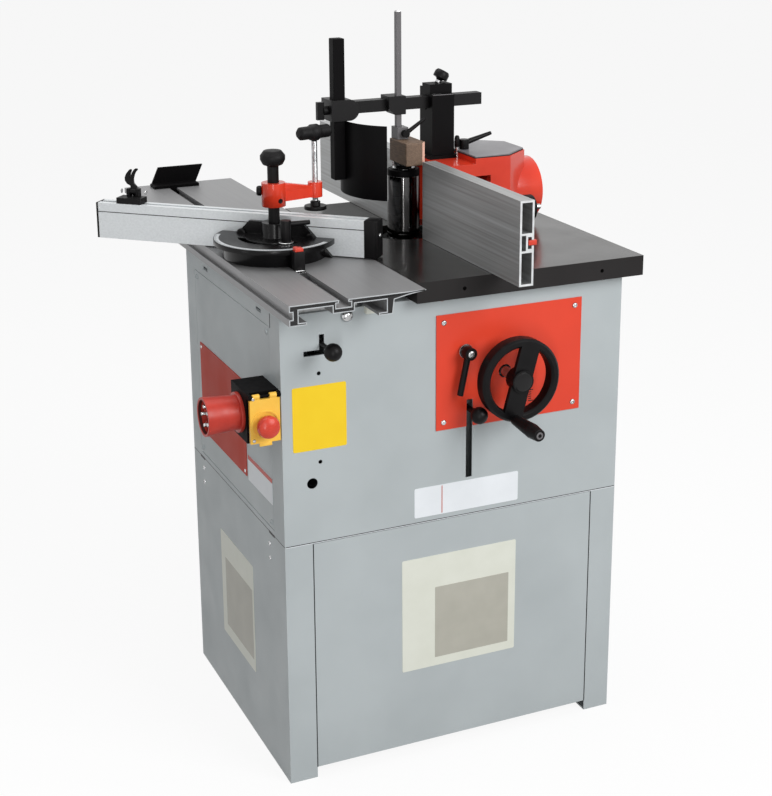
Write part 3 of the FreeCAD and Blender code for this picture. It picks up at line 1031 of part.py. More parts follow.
def fence(y1, y2):
    """One hollow fence: two large cells, and between them a small cell and a slot open at the back."""
    wall = d.profile_wall
    back = d.face_x + d.rail_fence_t
    z = (table_top + d.gap, d.fence_top)
    mid_z = (d.web_z1 + d.web_z2) / 2
    cell_x = (d.face_x + wall, back - wall)
    through = (y1 - MARGIN, y2 + MARGIN)
    return cut(box((d.face_x, back), (y1, y2), z),
               box(cell_x, through, (z[0] + wall, d.web_z1 - wall / 2)),
               box(cell_x, through, (d.web_z2 + wall / 2, z[1] - wall)),
               box((cell_x[0], back - d.tee_deep - wall), through,
                   (d.web_z1 + wall / 2, d.web_z2 - wall / 2)),
               box((back - d.tee_deep, back - d.tee_lip), through,
                   (mid_z - d.tee_wide / 2, mid_z + d.tee_wide / 2)),
               box((back - d.tee_deep, back + MARGIN), through,
                   (mid_z - d.tee_neck / 2, mid_z + d.tee_neck / 2)))


def fences():
    """The two fences either side of the spindle."""
    piece("right_fence", fence(d.right_y1, d.right_y2))
    piece("left_fence", fence(d.left_y1, d.left_y2))


def guard():
    """The guard's post, bar, column and curved shield, with the knobs that clamp them."""
    deck = hood_low + d.hood_h
    x = (d.post_x1, d.post_x2)
    y = (d.post_y1, d.post_y2)
    wall = d.post_wall
    head_top = d.head_low + d.head_h
    half = d.bar_s / 2
    slip = half + d.slide_fit
    axis_z = d.head_low + d.head_h / 2
    channel = cut(box(x, y, (deck, d.head_low)),
                  box((x[0] + wall, x[1] - wall), (y[0] + wall, y[1] + MARGIN),
                      (deck - MARGIN, d.head_low + MARGIN)))
    fin = box((x[0], x[0] + wall), (d.head_y1, y[1]), (deck, deck + d.post_h + d.post_fin))
    foot = box((x[0] - d.post_foot, x[1]), (y[0] - d.post_foot, y[1] + d.post_foot),
               (deck, deck + d.post_foot_t))
    head = box((x[0], x[1]), (d.head_y1, d.head_y2), (d.head_low, head_top))
    bore = doc.addObject("Part::Cylinder", "bore")
    bind(bore, "Radius", d.pknob_screw_r + d.run)
    bind(bore, "Height", d.head_h * 3)
    lower = doc.addObject("Part::Cylinder", "bore")
    bind(lower, "Radius", d.pknob_screw_r + d.run)
    bind(lower, "Height", d.head_h * 3)
    piece("guard_post", cut(fuse(channel, fin, foot, head),
                            box((x[0] - MARGIN, x[1] + MARGIN), (d.bar_y - slip, d.bar_y + slip),
                                (d.bar_z - slip, d.bar_z + slip)),
                            turn(bore, d.pknob_tilt, d.pknob_x, d.bar_y, axis_z, (0, 1, 0)),
                            turn(lower, d.pknob_tilt - 180, d.pknob_x, d.bar_y, axis_z, (0, 1, 0))))
    screw_low = -d.head_h / 2
    knob_low = d.pknob_up + d.pknob_stem
    knob = turned([(0, screw_low), (d.pknob_screw_r, screw_low),
                   (d.pknob_screw_r, d.pknob_up + d.pknob_stem / 2),
                   (d.pknob_r * 0.6, knob_low), (d.pknob_r, knob_low),
                   (d.pknob_r, knob_low + d.pknob_h * 0.7),
                   (d.pknob_r * 0.8, knob_low + d.pknob_h), (0, knob_low + d.pknob_h)])
    piece("post_knob", turn(knob, d.pknob_tilt, d.pknob_x, d.bar_y, axis_z, (0, 1, 0)))

    col_half = half + d.slide_fit
    rod_half = d.rod_s / 2 + d.slide_fit
    clamp_z = (d.bar_z - d.cross_h / 2, d.bar_z + d.cross_h / 2)
    block_z = (d.bar_z - d.rodblock_h / 2, d.bar_z + d.rodblock_h / 2)
    round_x = d.cross_x2 - d.cross_h / 2
    low_cut = d.rodblock_cut
    rod_clamp = prism("xz", [(d.rodblock_x1 + low_cut, block_z[0]), (d.rodblock_x2, block_z[0]),
                             (d.rodblock_x2, block_z[1]), (d.rodblock_x1, block_z[1]),
                             (d.rodblock_x1, block_z[0] + low_cut)],
                      d.rodblock_y1, d.bar_y + half + d.post_wall)
    piece("guard_bar", cut(fuse(box((d.bar_x1, d.bar_x2), (d.bar_y - half, d.bar_y + half),
                                    (d.bar_z - half, d.bar_z + half)),
                                box((d.cross_x1, round_x), (d.cross_y1, d.cross_y2), clamp_z),
                                rod("y", round_x, d.bar_z, d.cross_y1, d.cross_y2, d.cross_h / 2),
                                rod_clamp),
                           box((d.colm_x - col_half, d.colm_x + col_half),
                               (d.colm_y - col_half, d.colm_y + col_half),
                               (clamp_z[0] - MARGIN, clamp_z[1] + MARGIN)),
                           box((d.rod_x - rod_half, d.rod_x + rod_half),
                               (d.rod_y - rod_half, d.rod_y + rod_half),
                               (block_z[0] - MARGIN, block_z[1] + MARGIN)),
                           rod("x", d.colm_y, d.bar_z, d.cross_x1 - MARGIN, d.colm_x,
                               d.wing_screw_r + d.run)))
    screw_end = d.colm_x - half - d.gap * 2
    hub_x = (d.cross_x1 - d.gap - d.wing_hub_l, d.cross_x1 - d.gap)
    piece("wing_knob", fuse(rod("x", d.colm_y, d.bar_z, hub_x[0], screw_end, d.wing_screw_r),
                            rod("x", d.colm_y, d.bar_z, *hub_x, d.wing_hub_r),
                            box((hub_x[0] - d.wing_w, hub_x[0] + MARGIN),
                                (d.colm_y - d.wing_bar / 2, d.colm_y + d.wing_bar / 2),
                                (d.bar_z - d.wing_half, d.bar_z + d.wing_half))))
    piece("guard_column", box((d.colm_x - half, d.colm_x + half), (d.colm_y - half, d.colm_y + half),
                              (d.colm_z1, d.colm_z2)))
    sector = doc.addObject("Part::Cylinder", "sector")
    bind(sector, "Radius", d.guard_r)
    bind(sector, "Height", d.guard_z2 - d.guard_z1)
    bind(sector, "Angle", d.guard_span)
    piece("curved_guard", cut(turn(sector, d.guard_from, d.spin_x, d.spin_y, d.guard_z1),
                              rod("z", d.spin_x, d.spin_y, d.guard_z1 - MARGIN, d.guard_z2 + MARGIN,
                                  d.guard_r - d.guard_t)))


def pressure_shoe():
    """The wooden pressure shoe, its rod and holder, and the lever that clamps it."""
    half = d.rod_s / 2
    top = d.wood_z1 + d.wood_h
    lever_z = top + d.slever_up
    piece("shoe_rod", cut(fuse(box((d.rod_x - half, d.rod_x + half), (d.rod_y - half, d.rod_y + half),
                                   (top, d.rod_top)),
                               box((d.hold_x1, d.hold_x2), (d.hold_y1, d.hold_y2), (top, top + d.hold_h))),
                          rod("y", d.slever_x, lever_z, d.hold_y1 - MARGIN, d.hold_y1 + d.slever_in,
                              d.slever_stud + d.run)))
    piece("pressure_shoe", prism("xy", [(d.wood_x1, d.wood_y1), (d.wood_x2 - d.wood_cut, d.wood_y1),
                                        (d.wood_x2, d.wood_y1 + d.wood_cut), (d.wood_x2, d.wood_y2),
                                        (d.wood_x1, d.wood_y2)],
                                 d.wood_z1, top))
    hub_y = (d.hold_y1 - d.gap - d.slever_l, d.hold_y1 - d.gap)
    piece("shoe_lever", fuse(rod("y", d.slever_x, lever_z, *hub_y, d.slever_r),
                             rod("y", d.slever_x, lever_z, hub_y[0], d.hold_y1 + d.slever_in - MARGIN,
                                 d.slever_stud),
                             spar(d.slever_x, d.hold_y1 - d.gap - d.slever_l / 2, lever_z,
                                  d.slever_angle, (0, 1, 0),
                                  d.slever_arm, d.slever_arm_r, d.slever_tip_r)))


def check():
    """Stop before anything is written if a feature failed or a piece has no sound solid."""
    for thing in doc.Objects:
        if "Invalid" in thing.State or "Error" in thing.State:
            raise RuntimeError(f"{thing.Label} ({thing.Name}) failed: {thing.State}")
    for name, solid in PIECES.items():
        if solid.Shape.isNull() or not solid.Shape.isValid() or not solid.Shape.Solids:
            raise RuntimeError(f"{name} has no sound solid")


def write():
    """Write each piece's shape to its own file."""
    os.makedirs("parts", exist_ok=True)
    for name, solid in PIECES.items():
        solid.Shape.exportStep(f"parts/{name}.step")


cabinet()
table()
control_panel()
switch()
rail_and_slide()
height_gear()
carriage()
spindle()
drive()
mitre_gauge()
hold_down()
flip_stop()
edging_shoe()
hood()
fences()
guard()
pressure_shoe()
doc.recompute()
check()
write()
print(len(PIECES), "pieces written")
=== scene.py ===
import json
import math

import bmesh
import bpy
from mathutils import Matrix, Vector


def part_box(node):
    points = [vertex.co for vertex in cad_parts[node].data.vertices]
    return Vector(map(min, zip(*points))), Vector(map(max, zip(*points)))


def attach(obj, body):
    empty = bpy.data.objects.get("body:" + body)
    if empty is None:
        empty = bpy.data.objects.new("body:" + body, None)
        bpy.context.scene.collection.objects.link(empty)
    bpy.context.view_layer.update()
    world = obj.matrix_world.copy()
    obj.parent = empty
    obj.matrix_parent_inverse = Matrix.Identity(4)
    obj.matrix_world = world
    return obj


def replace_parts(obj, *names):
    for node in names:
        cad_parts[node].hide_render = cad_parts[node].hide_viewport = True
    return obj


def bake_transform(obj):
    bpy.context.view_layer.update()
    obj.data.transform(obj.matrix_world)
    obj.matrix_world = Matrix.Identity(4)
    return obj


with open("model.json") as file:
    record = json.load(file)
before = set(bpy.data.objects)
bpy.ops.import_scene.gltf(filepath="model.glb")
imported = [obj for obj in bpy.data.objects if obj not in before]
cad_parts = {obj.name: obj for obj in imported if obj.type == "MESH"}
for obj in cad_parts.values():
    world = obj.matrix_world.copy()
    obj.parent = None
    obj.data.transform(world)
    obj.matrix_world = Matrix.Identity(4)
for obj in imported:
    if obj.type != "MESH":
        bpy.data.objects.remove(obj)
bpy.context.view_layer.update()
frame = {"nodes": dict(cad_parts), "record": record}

bl_info = {
    "name": "Spindle Moulder",
    "version": (1, 0, 0),
    "blender": (4, 5, 0),
    "location": "View3D > Sidebar > Moulder",
    "description": "Finishes and small pieces for a spindle moulder with a sliding table",
    "category": "Object",
}

MM = 0.001
NODES = frame["nodes"]
BODIES = frame["record"]["behaviour"]["bodies"]
BODY_OF = {node: body for body, members in BODIES.items() for node in members}

# Directions on the machine, and how noise is drawn out into die lines along x or y.
LEFT, RIGHT, FRONT, BACK, DOWN, UP = (-1, 0, 0), (1, 0, 0), (0, -1, 0), (0, 1, 0), (0, 0, -1), (0, 0, 1)
ALONG_X, ALONG_Y = (0.012, 1.0, 1.0), (1.0, 0.012, 1.0)

# Places and lengths in metres, angles in radians.
LEFT_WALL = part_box("upper_cabinet")[0].x
FRONT_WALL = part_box("upper_cabinet")[0].y
SPINDLE = Vector((0.042, 0.060, 0.0))
MITRE = Vector((-0.236, -0.002, 0.0))
FENCE_TURN = math.radians(-42.5)
GAUGE = Matrix.Translation(MITRE) @ Matrix.Rotation(FENCE_TURN, 4, "Z")
FLIP_HINGE = Vector((-0.294, 0.040, 0.980))
FLIP_LEAN = math.radians(-14)
FLIP_BAR_TOP = 0.007
FLIP_BAR_HALF = 0.005
CLAMP_TURN = math.radians(13.1)
CLAMP_REACH = 0.088
ARM_SEAT_GAP = 0.0003
END_DEPTH = 0.0002

# The flip stop's lever from the side, in millimetres from its hinge.
FLIP_OUTLINE = (
    (-5.6, 4), (-6, 10), (-13.5, 13.5), (-18, 19), (-19, 25), (-16.5, 32), (-11, 39), (-8.5, 41), (-8, 39),
    (-10, 33), (-10, 27), (-8.7, 23.5), (-7.2, 28), (-4.5, 35), (-1, 40.5), (3, 43), (4, 40.5), (1, 37.5),
    (-1.5, 32), (-3, 24), (-1.5, 16), (5, 10.5), (5.6, 4))

# The rounding of flat panels, in millimetres.
PANEL_EDGE = 0.5
# Faces nearer to a direction than this cosine can be a solid's end.
END_FACING = 0.995
# Faces that bend by fewer degrees are one flat. It leads where it is so many times larger than its rounding.
LEVEL_ANGLE = 1.0
LARGE_SHARE = 8.0
# The wave texture multiplies its place by this.
WAVE_RATE = 20.0

# The floor's tone in bounced light, the share of it that glows where it is seen, and the world's soft light.
FLOOR_BOUNCE = "#969696"
FLOOR_GLOW = 0.9
SOFT_LIGHT = 0.28

# The camera fitted to the photograph: its place in metres, its yaw, pitch and roll in degrees, and its lens.
CAMERA_PLACE = (-1.1323, -2.5197, 1.5715)
CAMERA_ANGLES = (23.79, 15.99, -0.369)
CAMERA_LENS = 70.34
CAMERA_SHIFT = -0.123


def linear(code):
    """An sRGB hex colour as the linear colour that a shader takes."""
    channels = [int(code[place:place + 2], 16) / 255 for place in (1, 3, 5)]
    return [c / 12.92 if c <= 0.04045 else ((c + 0.055) / 1.055) ** 2.4 for c in channels] + [1.0]


def add(tree, kind, settings=None, inputs=None):
    """Add a node, set its properties, and set or link its inputs."""
    node = tree.nodes.new(kind)
    for name, value in (settings or {}).items():
        setattr(node, name, value)
    for name, value in (inputs or {}).items():
        if isinstance(value, bpy.types.NodeSocket):
            tree.links.new(value, node.inputs[name])
        else:
            node.inputs[name].default_value = value
    return node


def seen_directly(tree):
    """1 for a ray straight from the camera, off a shiny face or through glass, and 0 for any other."""
    path = add(tree, "ShaderNodeLightPath").outputs
    seen = path["Is Camera Ray"]
    for kind in ("Is Glossy Ray", "Is Transmission Ray"):
        larger = add(tree, "ShaderNodeMath", {"operation": "MAXIMUM"}, {0: seen, 1: path[kind]})
        seen = larger.outputs["Value"]
    return seen


def finish(name, colour, metallic=0.0, roughness=0.5, coat=0.0, shine=0.5):
    """A named material with one Principled shader, and the tree to draw its surface in."""
    material = bpy.data.materials.new(name)
    material.use_nodes = True
    tree = material.node_tree
    tree.nodes.clear()
    shader = add(tree, "ShaderNodeBsdfPrincipled",
                 inputs={"Base Color": linear(colour), "Metallic": metallic, "Roughness": roughness,
                         "Coat Weight": coat, "Specular IOR Level": shine})
    add(tree, "ShaderNodeOutputMaterial", inputs={"Surface": shader.outputs["BSDF"]})
    where = add(tree, "ShaderNodeTexCoord").outputs["Object"]
    return material, tree, shader, where


def per_mm(size):
    """The scale of a pattern, in object metres, whose features are a size in millimetres apart."""
    return 1 / (size * MM)


def clouds(tree, vector, size, detail):
    """Noise in patches of a size in millimetres."""
    noise = add(tree, "ShaderNodeTexNoise",
                inputs={"Vector": vector, "Scale": per_mm(size), "Detail": detail})
    return noise.outputs["Fac"]


def mottle(tree, shader, vector, low, high, size, detail=3.0, ends=(0.3, 0.7)):
    """Colour that drifts between two tones in patches of a size in millimetres; gives the noise back."""
    noise = clouds(tree, vector, size, detail)
    ramp = add(tree, "ShaderNodeValToRGB", inputs={"Fac": noise})
    for stop, place, tone in zip(ramp.color_ramp.elements, ends, (low, high)):
        stop.position = place
        stop.color = linear(tone)
    tree.links.new(ramp.outputs["Color"], shader.inputs["Base Color"])
    return noise


def emboss(tree, shader, height, depth, strength):
    """Bumps that follow a pattern's height, a depth in millimetres high."""
    bump = add(tree, "ShaderNodeBump",
               inputs={"Height": height, "Distance": depth * MM, "Strength": strength})
    tree.links.new(bump.outputs["Normal"], shader.inputs["Normal"])


def grain(tree, shader, vector, size, depth, strength):
    """Fine bumps of a size and depth in millimetres."""
    emboss(tree, shader, clouds(tree, vector, size, 2.0), depth, strength)


def worn(tree, shader, vector, low, high, size):
    """Roughness that drifts between two values, as handling leaves it."""
    spread = add(tree, "ShaderNodeMapRange",
                 inputs={"Value": clouds(tree, vector, size, 4.0), "From Min": 0.3, "From Max": 0.7,
                         "To Min": low, "To Max": high})
    tree.links.new(spread.outputs["Result"], shader.inputs["Roughness"])


def drawn(tree, where, stretch, turn=0.0):
    """Coordinates squeezed along a drawing direction, so that noise becomes long die or brush lines."""
    return add(tree, "ShaderNodeMapping", {"vector_type": "POINT"},
               {"Vector": where, "Rotation": (0.0, 0.0, turn), "Scale": stretch}).outputs["Vector"]


def powder_coat(name, low, high, rough=0.42, shine=0.35):
    """Powder coat on sheet steel: an even satin skin with a faint orange peel."""
    material, tree, shader, where = finish(name, high, roughness=rough, shine=shine)
    mottle(tree, shader, where, low, high, 160.0)
    grain(tree, shader, where, 2.2, 0.05, 0.25)
    worn(tree, shader, where, rough - 0.05, rough + 0.07, 60.0)
    return material


def gloss_enamel(name, low, high, rough=0.22, coat=0.3, shine=0.3):
    """Sprayed gloss enamel: deep colour under a clear shine, slightly wavy."""
    material, tree, shader, where = finish(name, high, roughness=rough, coat=coat, shine=shine)
    shader.inputs["Coat Roughness"].default_value = 0.06
    mottle(tree, shader, where, low, high, 70.0)
    grain(tree, shader, where, 7.0, 0.12, 0.2)
    return material


def ground_iron(name):
    """Ground cast iron, oiled: dark grey metal with fine lengthwise grinding lines and a soft sheen."""
    material, tree, shader, where = finish(name, "#4B4A49", metallic=0.75, roughness=0.24)
    lines = drawn(tree, where, (1.0, 0.02, 1.0))
    streak = mottle(tree, shader, lines, "#3A3938", "#4E4D4C", 1.8, ends=(0.0, 1.0))
    worn(tree, shader, where, 0.17, 0.27, 90.0)
    emboss(tree, shader, streak, 0.03, 0.25)
    return material


def extruded_aluminium(name, low, high, rough, line, metallic=0.6, relief=0.3, stretch=ALONG_Y, turn=0.0):
    """Extruded aluminium: bright metal with long die lines, drawn coarser than real so that they show."""
    material, tree, shader, where = finish(name, high, metallic=metallic, roughness=rough)
    lines = drawn(tree, where, stretch, turn)
    streak = mottle(tree, shader, lines, low, high, line, 4.0)
    worn(tree, shader, lines, rough - 0.15 * relief, rough + 0.15 * relief, 5.0)
    emboss(tree, shader, streak, 0.04, relief)
    return material


def turned_steel(name, low, high, rough=0.22):
    """Turned or ground steel: bright, with rings around the axis too fine to show, so only a faint drift."""
    material, tree, shader, where = finish(name, high, metallic=1.0, roughness=rough)
    mottle(tree, shader, where, low, high, 14.0)
    lines = drawn(tree, where, (0.05, 0.05, 1.0))
    grain(tree, shader, lines, 0.9, 0.015, 0.3)
    return material


def polished_black(name, low, high):
    """Blackened spindle steel, turned and polished: its fine rings draw each light out along the axis."""
    material, tree, shader, where = finish(name, high, metallic=1.0, roughness=0.08)
    mottle(tree, shader, where, low, high, 30.0)
    around = add(tree, "ShaderNodeTangent", {"direction_type": "RADIAL", "axis": "Z"})
    tree.links.new(around.outputs["Tangent"], shader.inputs["Tangent"])
    shader.inputs["Anisotropic"].default_value = 0.85
    shader.inputs["Anisotropic Rotation"].default_value = 0.25
    return material


def threaded_steel(name, low, high, pitch=1.75):
    """A bright threaded rod: turned steel with ridges around it, a pitch in millimetres apart."""
    material, tree, shader, where = finish(name, high, metallic=1.0, roughness=0.28)
    mottle(tree, shader, where, low, high, 9.0)
    ridge = add(tree, "ShaderNodeTexWave", {"bands_direction": "Z"},
                {"Vector": where, "Scale": per_mm(pitch) / WAVE_RATE * math.tau, "Distortion": 0.0})
    emboss(tree, shader, ridge.outputs["Fac"], 0.5, 0.6)
    return material


def moulded_plastic(name, low, high, rough=0.42, size=1.1, shine=0.35):
    """Moulded plastic: one deep colour with a fine spark-eroded grain, drawn coarse enough to show."""
    material, tree, shader, where = finish(name, high, roughness=rough, shine=shine)
    mottle(tree, shader, where, low, high, 24.0)
    grain(tree, shader, where, size, 0.05, 0.3)
    worn(tree, shader, where, rough - 0.08, rough + 0.08, 18.0)
    return material


def beech(name, low, high):
    """Planed beech: pale to mid brown with short flecks along the grain and a dry surface."""
    material, tree, shader, where = finish(name, high, roughness=0.62)
    lines = drawn(tree, where, (1.0, 0.10, 1.0))
    fleck = mottle(tree, shader, lines, low, high, 2.0, 5.0, (0.32, 0.68))
    emboss(tree, shader, fleck, 0.1, 0.4)
    return material


def printed_film(name, low, high):
    """Plain plastic film stuck on as a plate: flat, even colour with a slight gloss."""
    material, tree, shader, where = finish(name, high, roughness=0.38, shine=0.25)
    mottle(tree, shader, where, low, high, 45.0)
    grain(tree, shader, where, 4.0, 0.02, 0.2)
    return material


FINISHES = {}


def make_finishes():
    """Make every finish on the machine and keep it by a short name."""
    shades = bpy.context.scene.moulder_colours
    FINISHES.update({
        "grey coat": powder_coat("grey powder coat", shades.cabinet_low, shades.cabinet_high),
        "red coat": powder_coat("red powder coat", "#DB4029", shades.red_panel, 0.34),
        # The panel red made darker for the plate on the left side: painted shade of the machine's left side.
        "side red shade": powder_coat("side plate red with painted shade", "#B53B2B", "#C04231", 0.5, 0.12),
        "red enamel": gloss_enamel("red gloss enamel", "#D63722", shades.red_hood, 0.2, 0.1),
        "iron": ground_iron("ground cast iron"),
        "table aluminium": extruded_aluminium(
            "extruded aluminium table", "#8B8B8C", "#909091", 0.44, 4.0, metallic=0.4, relief=0.08),
        "fence aluminium": extruded_aluminium("extruded aluminium fence", "#929291", "#B3B5B6", 0.42, 5.0),
        "mitre aluminium": extruded_aluminium(
            "anodised aluminium mitre fence", "#DADEE0", "#E4E8EA", 0.42, 3.0, metallic=0.2,
            stretch=ALONG_X, turn=-FENCE_TURN),
        "black plastic": moulded_plastic("black moulded nylon", "#080708", "#0E0D0E", shine=0.14),
        "housing black": moulded_plastic("black moulded housing", "#080708", "#0D0C0D", 0.6, shine=0.05),
        "soft black": moulded_plastic("black moulded grip", "#0D0C0D", "#141314", 0.5, 1.6, 0.16),
        "black enamel": gloss_enamel("black enamel", "#050405", "#0A090A", 0.26, 0.0, 0.2),
        "blackened steel": powder_coat("black powder coat", "#060506", "#0B0A0B", 0.55, 0.06),
        "satin black": powder_coat("satin black paint", "#0D0C0D", "#151415", 0.44, 0.18),
        "deep black": gloss_enamel("deep black enamel", "#040304", "#070607", 0.5, 0.0, 0.08),
        "gloss black": gloss_enamel("black gloss paint", "#070607", "#0D0C0D", 0.14, 0.0),
        "spindle black": polished_black("polished black steel", "#4A4949", "#555454"),
        # Dark grey for the cast table's side faces.
        "edge black": powder_coat("dark cast table sides", "#232121", "#2B2929", 0.5, 0.12),
        "steel": turned_steel("turned steel", "#A3A3A3", "#C9C9CA"),
        "threaded steel": threaded_steel("threaded steel rod", "#8E8F90", "#D4D5D6"),
        "cut aluminium": turned_steel("sawn aluminium", "#C9CBCC", "#E4E6E7", 0.34),
        # Near-black for the sliding table's end faces.
        "dark end": powder_coat("dark sliding table end", "#0F0E0F", "#171617", 0.5),
        # Dark red for the inside of the inlet's cup: painted shade.
        "inlet shade": moulded_plastic("inlet red with painted shade", "#3A1210", "#4A1713", 0.5),
        "grey steel": powder_coat("grey enamelled steel", "#5D5B5D", "#6C6A6C", 0.36),
        "cover grey": powder_coat("grey cover enamel", "#747276", "#807E82", 0.34),
        "yellow plastic": moulded_plastic("yellow moulded ABS", "#F6C048", "#FCCA54", 0.36),
        "red plastic": moulded_plastic("red moulded ABS", "#C93A2B", "#DC4633", 0.30),
        "dark red plastic": moulded_plastic("red moulded inlet", "#AF3025", "#C13A2C", 0.38),
        "green plastic": moulded_plastic("green moulded ABS", "#1C6B31", "#24803B", 0.32),
        "beech": beech("planed beech", "#5C493B", "#7A6350"),
        # Paler beech for the shoe's end: end grain, made paler still as painted light.
        "lit beech end": beech("beech end grain with painted light", "#E6B69F", "#F3CAB6"),
        "rubber": moulded_plastic("belt rubber", "#0E0E0E", "#191919", 0.7, 2.0),
        "motor enamel": gloss_enamel("dark grey motor enamel", "#2A2D30", "#35393C", 0.4),
        "yellow film": printed_film("yellow film", "#F6CE28", "#F9D32C"),
        "cream film": printed_film("cream film", "#DFE1D5", "#E4E6DB"),
        "white film": printed_film("white film", "#E9EDF1", "#EEF2F6"),
        "silver film": printed_film("silver film", "#B9BDC0", "#C8CCCE"),
        "stone film": printed_film("stone film", "#B2B0A5", "#BAB8AD"),
        "red film": printed_film("red film", "#B93A2C", "#C74333"),
        "dark film": printed_film("dark film", "#151415", "#1C1B1C"),
    })


def piece(name, mesh, body, material, smooth=35.0):
    """Make a bmesh a piece of the machine with one finish, riding on a body if it has just one."""
    data = bpy.data.meshes.new(name)
    mesh.to_mesh(data)
    mesh.free()
    thing = bpy.data.objects.new(name, data)
    bpy.context.scene.collection.objects.link(thing)
    thing.data.materials.append(FINISHES[material])
    data.polygons.foreach_set("use_smooth", [True] * len(data.polygons))
    data.set_sharp_from_angle(angle=math.radians(smooth))
    if body:
        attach(thing, body)
    return thing


def soften(mesh, width, angle=40.0, segments=2):
    """Round every edge sharper than an angle by a width in millimetres."""
    edges = [edge for edge in mesh.edges
             if len(edge.link_faces) == 2 and edge.calc_face_angle(0.0) > math.radians(angle)]
    bmesh.ops.bevel(mesh, geom=edges, offset=width * MM, offset_type="OFFSET", affect="EDGES",
                    segments=segments, profile=0.5, material=-1, clamp_overlap=True)


def copied(node):
    """A solid's own mesh as a bmesh, with its loose triangles joined and its flat faces made whole."""
    mesh = bmesh.new()
    mesh.from_mesh(NODES[node].data)
    bmesh.ops.remove_doubles(mesh, verts=mesh.verts, dist=2e-6)
    bmesh.ops.dissolve_limit(mesh, angle_limit=math.radians(0.6), verts=mesh.verts, edges=mesh.edges)
    return mesh


def keep_flats(data, smooth):
    """Let large flat faces keep their own direction up to the small faces that round their edges."""
    bend, level = math.cos(math.radians(smooth)), math.cos(math.radians(LEVEL_ANGLE))
    faces = [[] for _ in data.vertices]
    for face in data.polygons:
        for vertex in face.vertices:
            faces[vertex].append((face.normal.copy(), face.area))
    leading = []
    for around in faces:
        main = max(around, key=lambda pair: pair[1])[0] if around else None
        flat = sum(area for normal, area in around if normal.dot(main) > level)
        rest = sum(area for normal, area in around if bend < normal.dot(main) <= level)
        leading.append(main if flat > LARGE_SHARE * rest else None)
    normals = [corner.vector.copy() for corner in data.corner_normals]
    for face in data.polygons:
        for corner in face.loop_indices:
            main = leading[data.loops[corner].vertex_index]
            if main is not None and face.normal.dot(main) > bend:
                normals[corner] = main
    data.normals_split_custom_set(normals)


def dressed(node, material, width, segments=2, smooth=35.0):
    """A solid with its edges rounded by a width in millimetres, in the solid's place."""
    mesh = copied(node)
    soften(mesh, width, segments=segments)
    thing = piece(node + "_dressed", mesh, BODY_OF[node], material, smooth)
    keep_flats(thing.data, smooth)
    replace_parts(thing, node)
    return thing


def block(low, high, width=0.0, segments=2):
    """A block between two corners in millimetres, with its edges rounded."""
    mesh = bmesh.new()
    bmesh.ops.create_cube(mesh, size=1.0)
    low, high = Vector(low) * MM, Vector(high) * MM
    bmesh.ops.scale(mesh, vec=high - low, verts=mesh.verts)
    bmesh.ops.translate(mesh, vec=(low + high) / 2, verts=mesh.verts)
    if width:
        soften(mesh, width, segments=segments)
    return mesh


def lathe(profile, place, direction, steps=48):
    """A profile of radius and height pairs in millimetres spun about a line through a place."""
    mesh = bmesh.new()
    corners = [mesh.verts.new((radius * MM, 0.0, height * MM)) for radius, height in profile]
    edges = [mesh.edges.new(pair) for pair in zip(corners, corners[1:])]
    bmesh.ops.spin(mesh, geom=corners + edges, cent=(0, 0, 0), axis=(0, 0, 1), angle=math.tau, steps=steps,
                   use_merge=True)
    bmesh.ops.remove_doubles(mesh, verts=mesh.verts, dist=1e-6)
    bmesh.ops.recalc_face_normals(mesh, faces=mesh.faces)
    turn = Vector((0, 0, 1)).rotation_difference(Vector(direction)).to_matrix().to_4x4()
    bmesh.ops.transform(mesh, matrix=Matrix.Translation(Vector(place) * MM) @ turn, verts=mesh.verts)
    return mesh


def plate(name, low, high, material, corner=3.0):
    """A thin bare plate with rounded corners on a wall of the cabinet; its thin way is the shortest side."""
    mesh = block(low, high)
    span = (Vector(high) - Vector(low)) * MM
    thin = min(range(3), key=lambda axis: span[axis])
    edges = [edge for edge in mesh.edges
             if abs((edge.verts[0].co - edge.verts[1].co)[thin]) > span[thin] * 0.9]
    bmesh.ops.bevel(mesh, geom=edges, offset=corner * MM, offset_type="OFFSET", affect="EDGES", segments=5,
                    profile=0.5, material=-1)
    return piece(name, mesh, "machine", material)


def merge(name, meshes, body, material):
    """Several bmeshes as one piece."""
    whole = bmesh.new()
    for mesh in meshes:
        data = bpy.data.meshes.new("part")
        mesh.to_mesh(data)
        mesh.free()
        whole.from_mesh(data)
        bpy.data.meshes.remove(data)
    return piece(name, whole, body, material)


def sleeve(inner, outer, low, high, place, direction, edge=0.2, steps=48):
    """A closed ring between two radii and two heights in millimetres, its outer edges broken."""
    outline = [(inner, low), (outer - edge, low), (outer, low + edge), (outer, high - edge),
               (outer - edge, high), (inner, high), (inner, low)]
    return lathe(outline, place, direction, steps)


def screw_head(place, direction, radius=5.0, height=2.6):
    """A button-head screw with a round socket, its seat at a place."""
    outline = ((0.0, 0.35), (0.42, 0.35), (0.46, 1.0), (0.62, 0.97), (0.85, 0.7), (1.0, 0.25), (1.0, 0.0),
               (0.0, 0.0))
    return lathe([(radius * wide, height * high) for wide, high in outline], place, direction, 24)


def placed(mesh, matrix):
    """Move a bmesh by a matrix and give it back."""
    bmesh.ops.transform(mesh, matrix=matrix, verts=mesh.verts)
    return mesh


def on_gauge(mesh):
    """Turn what is drawn in the mitre gauge's own frame into the machine's."""
    return placed(mesh, GAUGE)


def slab(outline, thick):
    """An outline of x and z pairs in millimetres made solid to both sides of y = 0."""
    mesh = bmesh.new()
    near, far = ([mesh.verts.new(Vector((x, y, z)) * MM) for x, z in outline]
                 for y in (-thick / 2, thick / 2))
    mesh.faces.new(near)
    mesh.faces.new(far[::-1])
    for index in range(len(outline)):
        mesh.faces.new((near[index], near[index - 1], far[index - 1], far[index]))
    bmesh.ops.recalc_face_normals(mesh, faces=mesh.faces)
    return mesh


